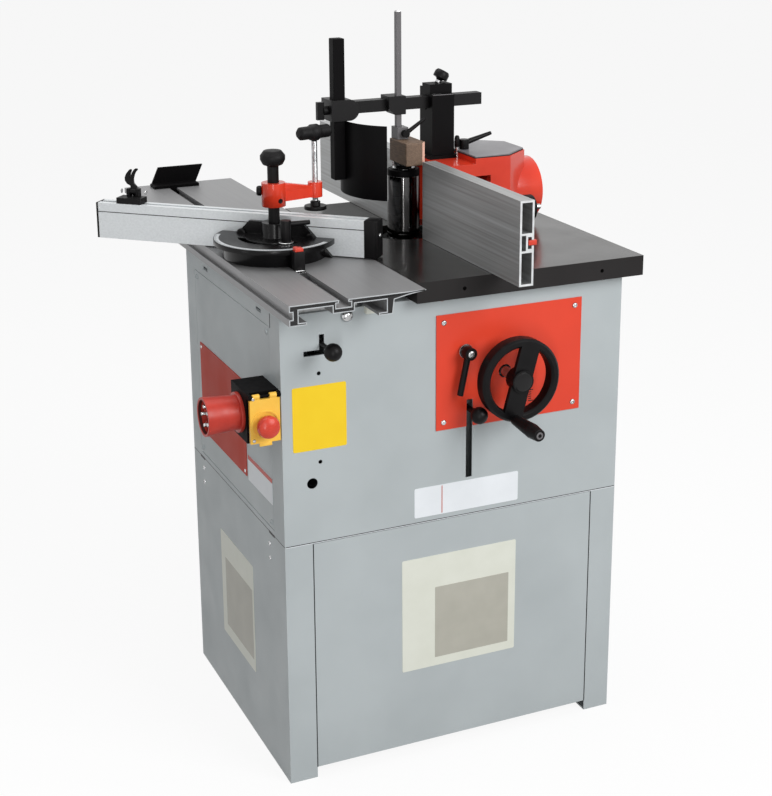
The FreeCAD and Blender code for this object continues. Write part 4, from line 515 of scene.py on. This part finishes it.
def arc_strip(inner, outer, start, end, low, high, steps=64):
    """Part of a flat ring about the origin between two radii, angles in degrees and heights."""
    mesh = bmesh.new()
    rings = []
    for step in range(steps + 1):
        angle = math.radians(start + (end - start) * step / steps)
        way = Vector((math.cos(angle), math.sin(angle), 0.0))
        rings.append([mesh.verts.new(way * radius * MM + Vector((0, 0, height * MM)))
                      for radius, height in ((inner, low), (outer, low), (outer, high), (inner, high))])
    for one, two in zip(rings, rings[1:]):
        for side in range(4):
            mesh.faces.new((one[side], one[(side + 1) % 4], two[(side + 1) % 4], two[side]))
    mesh.faces.new(rings[0][::-1])
    mesh.faces.new(rings[-1])
    bmesh.ops.recalc_face_normals(mesh, faces=mesh.faces)
    return mesh


def end_skin(name, node, direction, material, inset=0.0, thick=0.15):
    """A thin skin over the faces at one end of a solid, drawn in from their outline, in another finish."""
    way = Vector(direction).normalized()
    mesh = copied(node)
    bmesh.ops.recalc_face_normals(mesh, faces=mesh.faces)
    facing = [face for face in mesh.faces if face.normal.dot(way) > END_FACING]
    reach = max(face.calc_center_median().dot(way) for face in facing)
    kept = {face for face in facing if face.calc_center_median().dot(way) > reach - END_DEPTH}
    bmesh.ops.delete(mesh, geom=[face for face in mesh.faces if face not in kept], context="FACES")
    if inset:
        rim = bmesh.ops.inset_region(mesh, faces=mesh.faces, thickness=inset * MM, use_even_offset=True,
                                     use_boundary=True)
        bmesh.ops.delete(mesh, geom=rim["faces"], context="FACES")
    raised = bmesh.ops.extrude_face_region(mesh, geom=mesh.faces[:])["geom"]
    bmesh.ops.translate(mesh, vec=way * thick * MM,
                        verts=[item for item in raised if isinstance(item, bmesh.types.BMVert)])
    bmesh.ops.recalc_face_normals(mesh, faces=mesh.faces)
    return piece(name, mesh, BODY_OF[node], material)


class MoulderSizes(bpy.types.PropertyGroup):
    """Sizes that a user would change."""

    sheet_edge: bpy.props.FloatProperty(
        name="Sheet edge", description="Rounding of folded sheet, in mm", default=1.2, min=0.1, max=4.0)
    cast_edge: bpy.props.FloatProperty(
        name="Cast edge", description="Rounding of the table's edge, in mm", default=1.6, min=0.1, max=4.0)
    plate_thickness: bpy.props.FloatProperty(
        name="Plate thickness", description="Bare plates' thickness, in mm", default=0.5, min=0.1, max=2.0)


class MoulderColours(bpy.types.PropertyGroup):
    """Colours that a user would change, as sRGB hex."""

    cabinet_low: bpy.props.StringProperty(
        name="Cabinet dark", description="Darker tone of the cabinet", default="#B0B7B9")
    cabinet_high: bpy.props.StringProperty(
        name="Cabinet light", description="Lighter tone of the cabinet", default="#B9C0C2")
    red_panel: bpy.props.StringProperty(
        name="Panel red", description="Red of the control panel", default="#E6472F")
    red_hood: bpy.props.StringProperty(
        name="Hood red", description="Red of the hood and clamp", default="#E24129")


class MOULDER_OT_stage(bpy.types.Operator):
    """Put up the floor, the backdrop, the lights and the camera"""

    bl_idname = "moulder.stage"
    bl_label = "Stage"

    def execute(self, context):
        scene = context.scene
        scene.view_settings.view_transform = "Standard"
        white = linear("#FFFFFF")
        mesh = bmesh.new()
        bmesh.ops.create_grid(mesh, x_segments=1, y_segments=1, size=90.0)
        data = bpy.data.meshes.new("floor")
        mesh.to_mesh(data)
        mesh.free()
        floor = bpy.data.objects.new("floor", data)
        scene.collection.objects.link(floor)
        material = bpy.data.materials.new("studio floor")
        material.use_nodes = True
        tree = material.node_tree
        tree.nodes.clear()
        seen = seen_directly(tree)
        tone = add(tree, "ShaderNodeMix", {"data_type": "RGBA"},
                   {0: seen, 6: linear(FLOOR_BOUNCE), 7: white})
        matt = add(tree, "ShaderNodeBsdfDiffuse", inputs={"Color": tone.outputs[2]})
        glow = add(tree, "ShaderNodeEmission", inputs={"Color": white, "Strength": 1.0})
        share = add(tree, "ShaderNodeMath", {"operation": "MULTIPLY"}, {0: seen, 1: FLOOR_GLOW})
        both = add(tree, "ShaderNodeMixShader",
                   inputs={"Fac": share.outputs["Value"], 1: matt.outputs["BSDF"],
                           2: glow.outputs["Emission"]})
        add(tree, "ShaderNodeOutputMaterial", inputs={"Surface": both.outputs["Shader"]})
        floor.data.materials.append(material)

        world = bpy.data.worlds.new("studio")
        scene.world = world
        world.use_nodes = True
        tree = world.node_tree
        tree.nodes.clear()
        soft = add(tree, "ShaderNodeBackground", inputs={"Color": white, "Strength": SOFT_LIGHT})
        bright = add(tree, "ShaderNodeBackground", inputs={"Color": white, "Strength": 1.0})
        both = add(tree, "ShaderNodeMixShader",
                   inputs={"Fac": seen_directly(tree), 1: soft.outputs["Background"],
                           2: bright.outputs["Background"]})
        add(tree, "ShaderNodeOutputWorld", inputs={"Surface": both.outputs["Shader"]})

        for name, place, target, wide, high, power in (
                ("key softbox", (1.6, -3.2, 2.6), (0, 0, 0.6), 2.2, 2.2, 106),
                ("top softbox", (-0.3, 0.6, 3.6), (0, 0, 0.8), 2.4, 2.4, 42),
                ("front strip", (-1.5, -3.3, 1.1), (0, 0, 0.95), 0.05, 2.2, 30),
                ("left strip", (-3.2, -0.75, 1.0), (0, 0, 0.95), 0.06, 1.9, 4)):
            lamp = bpy.data.lights.new(name, "AREA")
            lamp.shape = "RECTANGLE"
            lamp.size = wide
            lamp.size_y = high
            lamp.energy = power
            holder = bpy.data.objects.new(name, lamp)
            holder.location = place
            holder.rotation_euler = (Vector(target) - Vector(place)).to_track_quat("-Z", "Y").to_euler()
            holder.visible_camera = False
            scene.collection.objects.link(holder)

        camera = bpy.data.cameras.new("camera")
        camera.sensor_width = 36.0
        camera.lens = CAMERA_LENS
        camera.shift_y = CAMERA_SHIFT
        holder = bpy.data.objects.new("camera", camera)
        yaw, pitch, roll = (math.radians(angle) for angle in CAMERA_ANGLES)
        turn = (Matrix.Rotation(-yaw, 4, "Z") @ Matrix.Rotation(math.pi / 2 - pitch, 4, "X")
                @ Matrix.Rotation(roll, 4, "Z"))
        holder.matrix_world = Matrix.Translation(CAMERA_PLACE) @ turn
        scene.collection.objects.link(holder)
        scene.camera = holder
        return {"FINISHED"}


class MOULDER_OT_cabinet(bpy.types.Operator):
    """Finish the cabinet, its panels, plates and screws"""

    bl_idname = "moulder.cabinet"
    bl_label = "Cabinet"

    def execute(self, context):
        sizes = context.scene.moulder_sizes
        for node in ("base_cabinet", "base_front_panel", "upper_cabinet", "left_side_panel"):
            dressed(node, "grey coat", PANEL_EDGE if "panel" in node else sizes.sheet_edge)
        dressed("control_panel", "red coat", PANEL_EDGE)
        front, left = FRONT_WALL / MM, LEFT_WALL / MM
        thick = sizes.plate_thickness
        over, sunk = 1.4 * thick, 0.2
        plate("yellow_plate", (-304, front - thick, 619), (-208, front, 732), "yellow film")
        plate("white_plate", (-83, front - thick, 461), (120, front, 516), "white film")
        plate("cream_plate", (-107, front - thick, 167.5), (118, front, 384), "cream film")
        plate("stone_panel", (-43, front - over, 184), (104, front - sunk, 322), "stone film", 1.0)
        # The red plate on the left side is drawn in a darker red: painted shade.
        plate("red_side_plate", (left - 1.2, -70, 512), (left, 185, 690), "side red shade", 1.5)
        plate("side_info_plate", (left - thick, -202, 508), (left, -76, 556), "white film", 1.0)
        plate("side_info_band", (left - 1.5 * thick, -202, 548), (left - sunk, -76, 556), "red film", 0.8)
        plate("side_low_plate", (left - thick, -83, 129), (left, 102, 342), "cream film")
        plate("side_low_panel", (left - over, -75, 152), (left - sunk, 78, 292), "stone film", 1.0)
        plate("white_plate_line", (-31, front - over, 463), (-29.4, front - sunk, 514), "red film", 0.3)
        marks = []
        for step in range(21):
            z, length = 646 + 4.0 * step, 9 if step % 5 == 0 else 5.5
            marks.append(block((137, front - 2.35, z - 0.7), (137 + length, front - 1.9, z + 0.7)))
        merge("height_scale", marks, "machine", "dark film")
        for count, y in enumerate((200, -192)):
            plate(f"split_slot_{count}", (left - 0.25, y - 14, 448.6), (left + 0.5, y + 14, 453.2),
                  "dark film", 1.5)
        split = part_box("upper_cabinet")[0].z / MM
        door_low, door_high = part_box("base_front_panel")[0] / MM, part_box("base_front_panel")[1] / MM
        seams = [block((left + 1, wall - 0.25, split - 0.6), (-left - 1, wall + 0.25, split + 0.6))
                 for wall in (front, -front)]
        seams += [block((wall - 0.25, front + 1, split - 0.5), (wall + 0.25, -front - 1, split + 0.5))
                  for wall in (left, -left)]
        seams += [block((x - 0.8, front - 0.2, door_low.z), (x + 0.8, front + 0.3, door_high.z))
                  for x in (door_low.x - 0.9, door_high.x + 0.9)]
        seams.append(block((left - 0.4, -212, 826), (left + 0.2, -210, 851)))
        merge("cabinet_seams", seams, "machine", "dark film")
        # A white strip along the front just below the split: a painted highlight on the base's top edge.
        edge = block((left + 1, front - 0.25, split - 1.7), (-left - 1, front + 0.3, split - 0.7))
        piece("split_highlight", edge, "machine", "white film")
        heads = [screw_head((x, front - 2.0, z), FRONT) for z in (631, 810) for x in (-28.5, 226.5)]
        heads += [screw_head((left, y, z), LEFT, 4.0, 2.0)
                  for y, z in ((194, 431), (194, 402), (-180, 429), (-180, 402))]
        heads += [screw_head((left - 1.2, y, z), LEFT, 3.2, 1.6) for y in (-62, 177) for z in (520, 682)]
        heads += [screw_head((x, -266, 857), DOWN, 6.0, 5.0) for x in (-37, 275)]
        heads += [screw_head((-371, -256, z), FRONT, 3.0, 1.6) for z in (651.5, 723.5)]
        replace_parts(merge("cabinet_screws", heads, "machine", "steel"), "panel_screws")
        merge("side_panel_screws", [screw_head((left, y, z), LEFT) for y in (-193, 193) for z in (474, 815)],
              "machine", "grey coat")
        return {"FINISHED"}


class MOULDER_OT_tables(bpy.types.Operator):
    """Finish the cast table, the sliding table and its rail"""

    bl_idname = "moulder.tables"
    bl_label = "Tables"

    def execute(self, context):
        sizes = context.scene.moulder_sizes
        dressed("cast_table", "iron", sizes.cast_edge)
        dressed("table_ring", "iron", 0.5)
        # The cast table's four side faces get a dark skin over the ground iron.
        for side, way in (("front", FRONT), ("back", BACK), ("left", LEFT), ("right", RIGHT)):
            end_skin(f"table_{side}_edge", "cast_table", way, "edge black")
        dressed("sliding_table", "table aluminium", 0.4)
        dressed("slide_rail", "fence aluminium", 0.5)
        dressed("edging_shoe", "blackened steel", 0.6)
        # Each end of the sliding table gets a silver rim round its outline and a dark skin inside it.
        for end, way in (("near", FRONT), ("far", BACK)):
            end_skin(f"sliding_table_{end}_rim", "sliding_table", way, "silver film")
            end_skin(f"sliding_table_{end}_end", "sliding_table", way, "dark end", 1.7, 0.4)
        dome = [(0, 9), (4, 8.5), (8, 6.5), (10.2, 3.2), (11, 0), (11, -3), (0, -3)]
        piece("table_stop_bolt", lathe(dome, (-205, -256, 845), FRONT, 32), "machine", "steel")
        piece("table_stop_block", block((-174, -266, 845.5), (-156, -250.4, 858.5), 1.0),
              "machine", "cream film")
        return {"FINISHED"}


class MOULDER_OT_switch(bpy.types.Operator):
    """Finish the switch box, its flap, buttons and inlet"""

    bl_idname = "moulder.switch"
    bl_label = "Switch"

    def execute(self, context):
        dressed("switch_box", "housing black", 1.6, 3)
        dressed("stop_flap", "yellow plastic", 1.4, 3)
        dressed("stop_mushroom", "red plastic", 1.0, 3, 60.0)
        dressed("start_button", "green plastic", 1.2, 3)
        dressed("power_inlet", "dark red plastic", 1.0, 3)
        piece("flap_tab", block((-362, -256.6, 640), (-340, -252.2, 647), 1.2, 3),
              "stop_flap", "yellow plastic")
        piece("flap_rim", sleeve(21.5, 24.5, 0, 3.0, (-351, -254.5, 678), FRONT, 0.8),
              "stop_flap", "yellow plastic")
        cup = Vector((-401, -205, 687))
        # A dark red skin inside the inlet's cup: painted shade where the shade falls in the cup.
        shade_outline = [(0, 0), (28.85, 0), (28.85, 39.0), (28.4, 39.0), (28.4, 0.6), (0, 0.6)]
        piece("inlet_painted_shade", lathe(shade_outline, cup, LEFT, 64), "machine", "inlet shade")
        pin, circle, count = [(0, 0.7), (3.2, 0.7), (3.2, 36.2), (2.6, 37.4), (0, 37.4)], 17, 5
        places = [cup + Matrix.Rotation(math.tau * turn / count, 3, "X") @ Vector((0, circle, 0))
                  for turn in range(count)]
        merge("inlet_pins", [lathe(pin, place, LEFT, 20) for place in places], "machine", "steel")
        return {"FINISHED"}


class MOULDER_OT_mitre(bpy.types.Operator):
    """Finish the mitre gauge, its fence, flip stop and lock"""

    bl_idname = "moulder.mitre"
    bl_label = "Mitre gauge"

    def execute(self, context):
        dressed("mitre_slide_block", "steel", 0.4)
        dressed("mitre_protractor", "black enamel", 1.2)
        dressed("mitre_fence", "mitre aluminium", 0.4)
        dressed("fence_end_caps", "black plastic", 0.6)
        dressed("mitre_lock_lever", "black plastic", 1.2, 3)
        dressed("flip_stop_body", "black plastic", 0.8)
        arm = dressed("flip_stop_arm", "black plastic", 0.9)
        hinge = GAUGE @ Matrix.Translation(FLIP_HINGE) @ Matrix.Rotation(FLIP_LEAN, 4, "X")
        for vertex in arm.data.vertices:
            spot = hinge.inverted() @ vertex.co
            if abs(spot.y) < FLIP_BAR_HALF and spot.z > FLIP_BAR_TOP:
                vertex.co = hinge @ Vector((spot.x, spot.y, FLIP_BAR_TOP))
        lever = slab(FLIP_OUTLINE, 8.4)
        soften(lever, 0.8, 30.0)
        piece("flip_lever", placed(lever, hinge), "flip_arm", "black plastic")
        piece("index_cover", block((-245.4, -126.6, 893.1), (-226.6, -110.7, 925.6), 0.9),
              "mitre_slide", "black plastic")
        merge("index_pointer", [block((-243.5, -125.0, 925.4), (-228.5, -111.0, 931.5), 1.2, 3),
                                block((-239.5, -112.0, 927.4), (-232.5, -103.0, 930.6), 0.7)],
              "mitre_slide", "red plastic")
        piece("gauge_scale", on_gauge(arc_strip(98.5, 106.6, 188, 352, 926.2, 926.6)),
              "mitre_head", "silver film")
        ticks = []
        rim, start, sweep, count = 106.4, 190, 160, 90
        for step in range(count + 1):
            reach = 5.6 if step % 5 == 0 else 3.4
            turn = Matrix.Rotation(math.radians(start + sweep * step / count), 4, "Z")
            ticks.append(on_gauge(placed(block((rim - reach, -0.18, 926.5), (rim, 0.18, 926.68)), turn)))
        merge("gauge_ticks", ticks, "mitre_head", "dark film")
        boss = [(0, 6), (6.5, 6), (8.5, 4.5), (9, 0), (0, 0)]
        merge("gauge_bosses", [on_gauge(lathe(boss, (x, 7.2, 926), FRONT, 32)) for x in (-66, 66)],
              "mitre_head", "black enamel")
        # The fence's groove is a flat dark strip on its face: painted shade of the groove's hollow.
        piece("fence_groove_shade", on_gauge(block((-355.6, 14.75, 943.7), (181.6, 15.3, 945.1))),
              "mitre_head", "dark film")
        piece("fence_end_sleeve", on_gauge(block((161.5, 14.6, 894.6), (182.3, 45.4, 961.4), 0.5)),
              "mitre_head", "black plastic")
        merge("fence_cap_screws", [on_gauge(screw_head((x, 30, 934), way, 4.0, 2.0))
                                   for x, way in ((186.2, RIGHT), (-360.2, LEFT))],
              "mitre_head", "steel")
        piece("lock_washer", sleeve(9.2, 13.0, 0, 2.4, (-236, -60, 926.75), UP, 0.8),
              "mitre_lock", "steel")
        pin = [(0, 1.6), (3.2, 1.6), (4.2, 0.8), (4.2, 0), (0, 0)]
        merge("stop_pin", [on_gauge(lathe(pin, (x, 40, 980), way, 24))
                           for x, way in ((-318.2, LEFT), (-269.8, RIGHT))], "flip_stop", "steel")
        return {"FINISHED"}


class MOULDER_OT_clamp(bpy.types.Operator):
    """Finish the hold-down clamp"""

    bl_idname = "moulder.clamp"
    bl_label = "Hold-down clamp"

    def execute(self, context):
        along = Vector((math.cos(CLAMP_TURN), math.sin(CLAMP_TURN), 0.0))
        column, screw = MITRE / MM, (MITRE + along * CLAMP_REACH) / MM
        dressed("clamp_column", "soft black", 1.5, 3)
        arm = dressed("clamp_arm", "red enamel", 1.6, 3)
        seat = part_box("clamp_arm")[0].z + ARM_SEAT_GAP
        for vertex in arm.data.vertices:
            vertex.co.z = max(vertex.co.z, seat)
        near, far, foot, end, ridge = 17, 80, 1004, 1007.6, 1020.5
        rib = block((near, -7.15, foot), (far, 7.15, ridge))
        for vertex in rib.verts:
            if vertex.co.x > (near + far) / 2 * MM and vertex.co.z > end * MM:
                vertex.co.z = end * MM
        soften(rib, 1.4, segments=3)
        placed(rib, Matrix.Translation(MITRE) @ Matrix.Rotation(CLAMP_TURN, 4, "Z"))
        piece("clamp_arm_rib", rib, "clamp_arm", "red enamel")
        knob = [(0, 30), (6.5, 29.6), (8.6, 27.5), (9, 25), (9, 22), (5, 20), (5, 16), (0, 16)]
        piece("clamp_arm_knob", lathe(knob, column + Vector((0, 0, 1008)), (-0.915, 0.403, 0), 32),
              "clamp_arm", "black plastic")
        dressed("clamp_screw", "soft black", 1.6, 3)
        dressed("clamp_foot", "black plastic", 1.0)
        piece("clamp_rod", sleeve(4.6, 5.045, 978.4, 1085.8, screw, UP, 0.04),
              "clamp_screw", "threaded steel")
        grip = [(0, -34.2), (5.0, -33.9), (9.0, -32.0), (11.2, -29.2), (11.7, -26.0),
                (11.7, 26.0), (11.2, 29.2), (9.0, 32.0), (5.0, 33.9), (0, 34.2)]
        piece("clamp_grip", lathe(grip, screw + Vector((0, 0, 1101.5)), along),
              "clamp_screw", "soft black")
        grub = [(0, 0.5), (3.4, 0.5), (4.0, 0.9), (4.4, 0.4), (4.4, -1.5), (0, -1.5)]
        piece("arm_grub_screw", lathe(grub, (-230.5, -22.3, 992.5), (0.26, -0.966, 0), 24),
              "clamp_arm", "black plastic")
        return {"FINISHED"}


class MOULDER_OT_handwheel(bpy.types.Operator):
    """Finish the handwheel, its crank and the levers on the front"""

    bl_idname = "moulder.handwheel"
    bl_label = "Handwheel and levers"

    def execute(self, context):
        dressed("handwheel", "black plastic", 1.6, 3)
        dressed("crank_handle", "black plastic", 1.4, 3)
        dressed("handwheel_shaft", "steel", 0.5)
        dressed("height_lock_lever", "black plastic", 1.4, 3)
        dressed("table_lock_lever", "black plastic", 0.6)
        dressed("belt_lever", "black plastic", 0.6)
        cap = [(0, 2.2), (14, 2.2), (16.5, 1.4), (17.5, 0), (17.5, -1), (0, -1)]
        piece("wheel_cap", lathe(cap, (90, -324, 708), FRONT), "handwheel", "gloss black")
        piece("crank_ring", sleeve(3.4, 6.2, -0.5, 0.9, (72.58, -414, 644.34), FRONT, 0.4),
              "crank", "grey steel")
        piece("lock_hub_ring", sleeve(11.2, 12.6, 0, 1.4, (11, -262.5, 756), FRONT),
              "height_lock", "steel")
        piece("lock_hub_screw", screw_head((11, -284, 756), FRONT, 6.0, 2.0),
              "height_lock", "steel")
        return {"FINISHED"}


class MOULDER_OT_spindle(bpy.types.Operator):
    """Finish the spindle, its spacer rings and nut"""

    bl_idname = "moulder.spindle"
    bl_label = "Spindle"

    def execute(self, context):
        axis = SPINDLE / MM
        dressed("spindle_shaft", "blackened steel", 0.5)
        low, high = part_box("spacer_rings")
        foot, top = low.z / MM, high.z / MM
        bore, radius, edge, count = 16.0, 30.0, 0.2, 6
        step = (top - foot) / count
        outline = [(bore, foot)]
        for ring in range(count):
            start, end = foot + ring * step, foot + (ring + 1) * step
            outline += [(radius - edge, start), (radius, start + edge),
                        (radius, end - edge), (radius - edge, end)]
        outline += [(bore, top), (bore, foot)]
        rings = piece("spacer_rings_turned", lathe(outline, axis, UP, 96),
                      "spindle", "spindle black")
        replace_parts(rings, "spacer_rings")
        dressed("spindle_nut", "gloss black", 0.8)
        piece("shoulder_band", sleeve(29.0, 30.2, 886.2, 894.0, axis, UP, 0.2, 96),
              "spindle", "spindle black")
        piece("top_ring", sleeve(22.2, 29.8, 1001.5, 1013.5, axis, UP, 1.2, 96),
              "spindle", "blackened steel")
        return {"FINISHED"}


class MOULDER_OT_hood(bpy.types.Operator):
    """Finish the hood, its cover, carrier, knob and lever"""

    bl_idname = "moulder.hood"
    bl_label = "Hood"

    def execute(self, context):
        dressed("hood", "red enamel", 1.5, 3)
        dressed("hood_cover", "cover grey", 1.0)
        dressed("infeed_carrier", "blackened steel", 0.8)
        dressed("adjust_knob", "black plastic", 0.9)
        dressed("hood_clamp_lever", "black plastic", 1.2, 3)
        low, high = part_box("hood_cover")
        middle = (low + high) / 2
        foot = Matrix.Translation((middle.x, middle.y, low.z))
        squeeze = foot @ Matrix.Diagonal((1.006, 1.006, 0.4, 1.0)) @ foot.inverted()
        piece("cover_seal", placed(copied("hood_cover"), squeeze), "fence_unit", "rubber")
        tip = [(0, 18.6), (4.4, 18.2), (5.25, 17.0), (5.25, 10.2), (12.3, 0.2), (12.3, 0), (0, 0)]
        piece("knob_tip", lathe(tip, (260, -36, 938), RIGHT, 40), "adjust_knob", "steel")
        place = (151, 57.4, 1025.9)
        stud = [(0, 22), (3.6, 22), (3.6, 7), (5.6, 7), (5.6, 0), (0, 0)]
        piece("hood_stud", lathe(stud, place, UP, 24), "fence_unit", "steel")
        cap = [(0, 41), (2.6, 40.4), (4.2, 38.5), (5.0, 34), (5.0, 20), (4.4, 19), (0, 19)]
        piece("hood_stud_cap", lathe(cap, place, UP, 24), "fence_unit", "black plastic")
        return {"FINISHED"}


class MOULDER_OT_fences(bpy.types.Operator):
    """Finish the two fences"""

    bl_idname = "moulder.fences"
    bl_label = "Fences"

    def execute(self, context):
        for node in ("right_fence", "left_fence"):
            dressed(node, "fence aluminium", 0.4)
            for end, way in (("near", FRONT), ("far", BACK)):
                end_skin(f"{node}_end_{end}", node, way, "cut aluminium")
        piece("fence_slot_nut", block((67, -374.6, 960.5), (82, -352, 969), 0.8),
              "right_fence", "red plastic")
        return {"FINISHED"}


class MOULDER_OT_guard(bpy.types.Operator):
    """Finish the guard and the pressure shoe"""

    bl_idname = "moulder.guard"
    bl_label = "Guard"

    def execute(self, context):
        dressed("guard_post", "deep black", 0.9)
        dressed("post_knob", "black plastic", 1.0)
        piece("post_knob_stem", sleeve(4.6, 5.3, 10.8, 15.4, (118, 85, 1154), (0.5, 0, 0.866025)),
              "post_knob", "steel")
        # A grey strip along the top edge of the black post: a painted highlight where the edge catches the
        # light.
        piece("post_top_highlight", block((101.2, 57.7, 1143.4), (143.8, 58.6, 1144.9), 0.2),
              "fence_unit", "grey steel")
        dressed("guard_bar", "satin black", 1.2)
        dressed("wing_knob", "black plastic", 1.4, 3)
        dressed("guard_column", "blackened steel", 1.6)
        dressed("curved_guard", "deep black", 0.6)
        dressed("shoe_rod", "grey steel", 0.7)
        dressed("pressure_shoe", "beech", 2.0, 3)
        # The shoe's right end and its front-right corner are drawn paler: end grain, and painted light where
        # the light falls on them.
        end_skin("shoe_lit_end", "pressure_shoe", RIGHT, "lit beech end", 0.4, 0.2)
        end_skin("shoe_lit_corner", "pressure_shoe", (1, -1, 0), "lit beech end", 0.4, 0.2)
        piece("rod_tip", block((31.6, 65.6, 1297), (40.4, 74.4, 1301), 0.8), "shoe", "steel")
        dressed("shoe_lever", "black plastic", 1.0)
        return {"FINISHED"}


class MOULDER_OT_drive(bpy.types.Operator):
    """Finish the quill, motor, pulleys and belt inside the cabinet"""

    bl_idname = "moulder.drive"
    bl_label = "Drive"

    def execute(self, context):
        for node, material, width in (
                ("quill_bracket", "motor enamel", 1.5), ("quill", "blackened steel", 0.8),
                ("spindle_bearings", "steel", 0.5), ("leadscrew", "steel", 0.4),
                ("spindle_pulley", "fence aluminium", 0.5), ("motor", "motor enamel", 1.0),
                ("motor_pulley", "fence aluminium", 0.5)):
            dressed(node, material, width)
        mesh = copied("drive_belt")
        soften(mesh, 0.8)
        belt = piece("drive_belt_dressed", mesh, None, "rubber")
        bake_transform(belt)
        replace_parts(belt, "drive_belt")
        return {"FINISHED"}


class MOULDER_PT_panel(bpy.types.Panel):
    """Lists the settings and the steps that finish the machine"""

    bl_idname = "MOULDER_PT_panel"
    bl_label = "Spindle Moulder"
    bl_space_type = "VIEW_3D"
    bl_region_type = "UI"
    bl_category = "Moulder"

    def draw(self, context):
        for settings in (context.scene.moulder_sizes, context.scene.moulder_colours):
            for name in settings.bl_rna.properties.keys():
                if name not in ("rna_type", "name"):
                    self.layout.prop(settings, name)
        for step in STEPS:
            self.layout.operator(step.bl_idname)


STEPS = (MOULDER_OT_stage, MOULDER_OT_cabinet, MOULDER_OT_tables, MOULDER_OT_switch, MOULDER_OT_mitre,
         MOULDER_OT_clamp, MOULDER_OT_handwheel, MOULDER_OT_spindle, MOULDER_OT_hood, MOULDER_OT_fences,
         MOULDER_OT_guard, MOULDER_OT_drive)
CLASSES = (MoulderSizes, MoulderColours) + STEPS + (MOULDER_PT_panel,)


def register():
    """Register the classes and hang the settings on the scene."""
    for entry in CLASSES:
        bpy.utils.register_class(entry)
    bpy.types.Scene.moulder_sizes = bpy.props.PointerProperty(type=MoulderSizes)
    bpy.types.Scene.moulder_colours = bpy.props.PointerProperty(type=MoulderColours)


def unregister():
    """Take the settings and the classes away again."""
    del bpy.types.Scene.moulder_sizes
    del bpy.types.Scene.moulder_colours
    for entry in reversed(CLASSES):
        bpy.utils.unregister_class(entry)


def main():
    """Finish the machine step by step."""
    register()
    make_finishes()
    bpy.ops.moulder.stage()
    bpy.ops.moulder.cabinet()
    bpy.ops.moulder.tables()
    bpy.ops.moulder.switch()
    bpy.ops.moulder.mitre()
    bpy.ops.moulder.clamp()
    bpy.ops.moulder.handwheel()
    bpy.ops.moulder.spindle()
    bpy.ops.moulder.hood()
    bpy.ops.moulder.fences()
    bpy.ops.moulder.guard()
    bpy.ops.moulder.drive()
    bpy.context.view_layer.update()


if __name__ == "__main__":
    main()
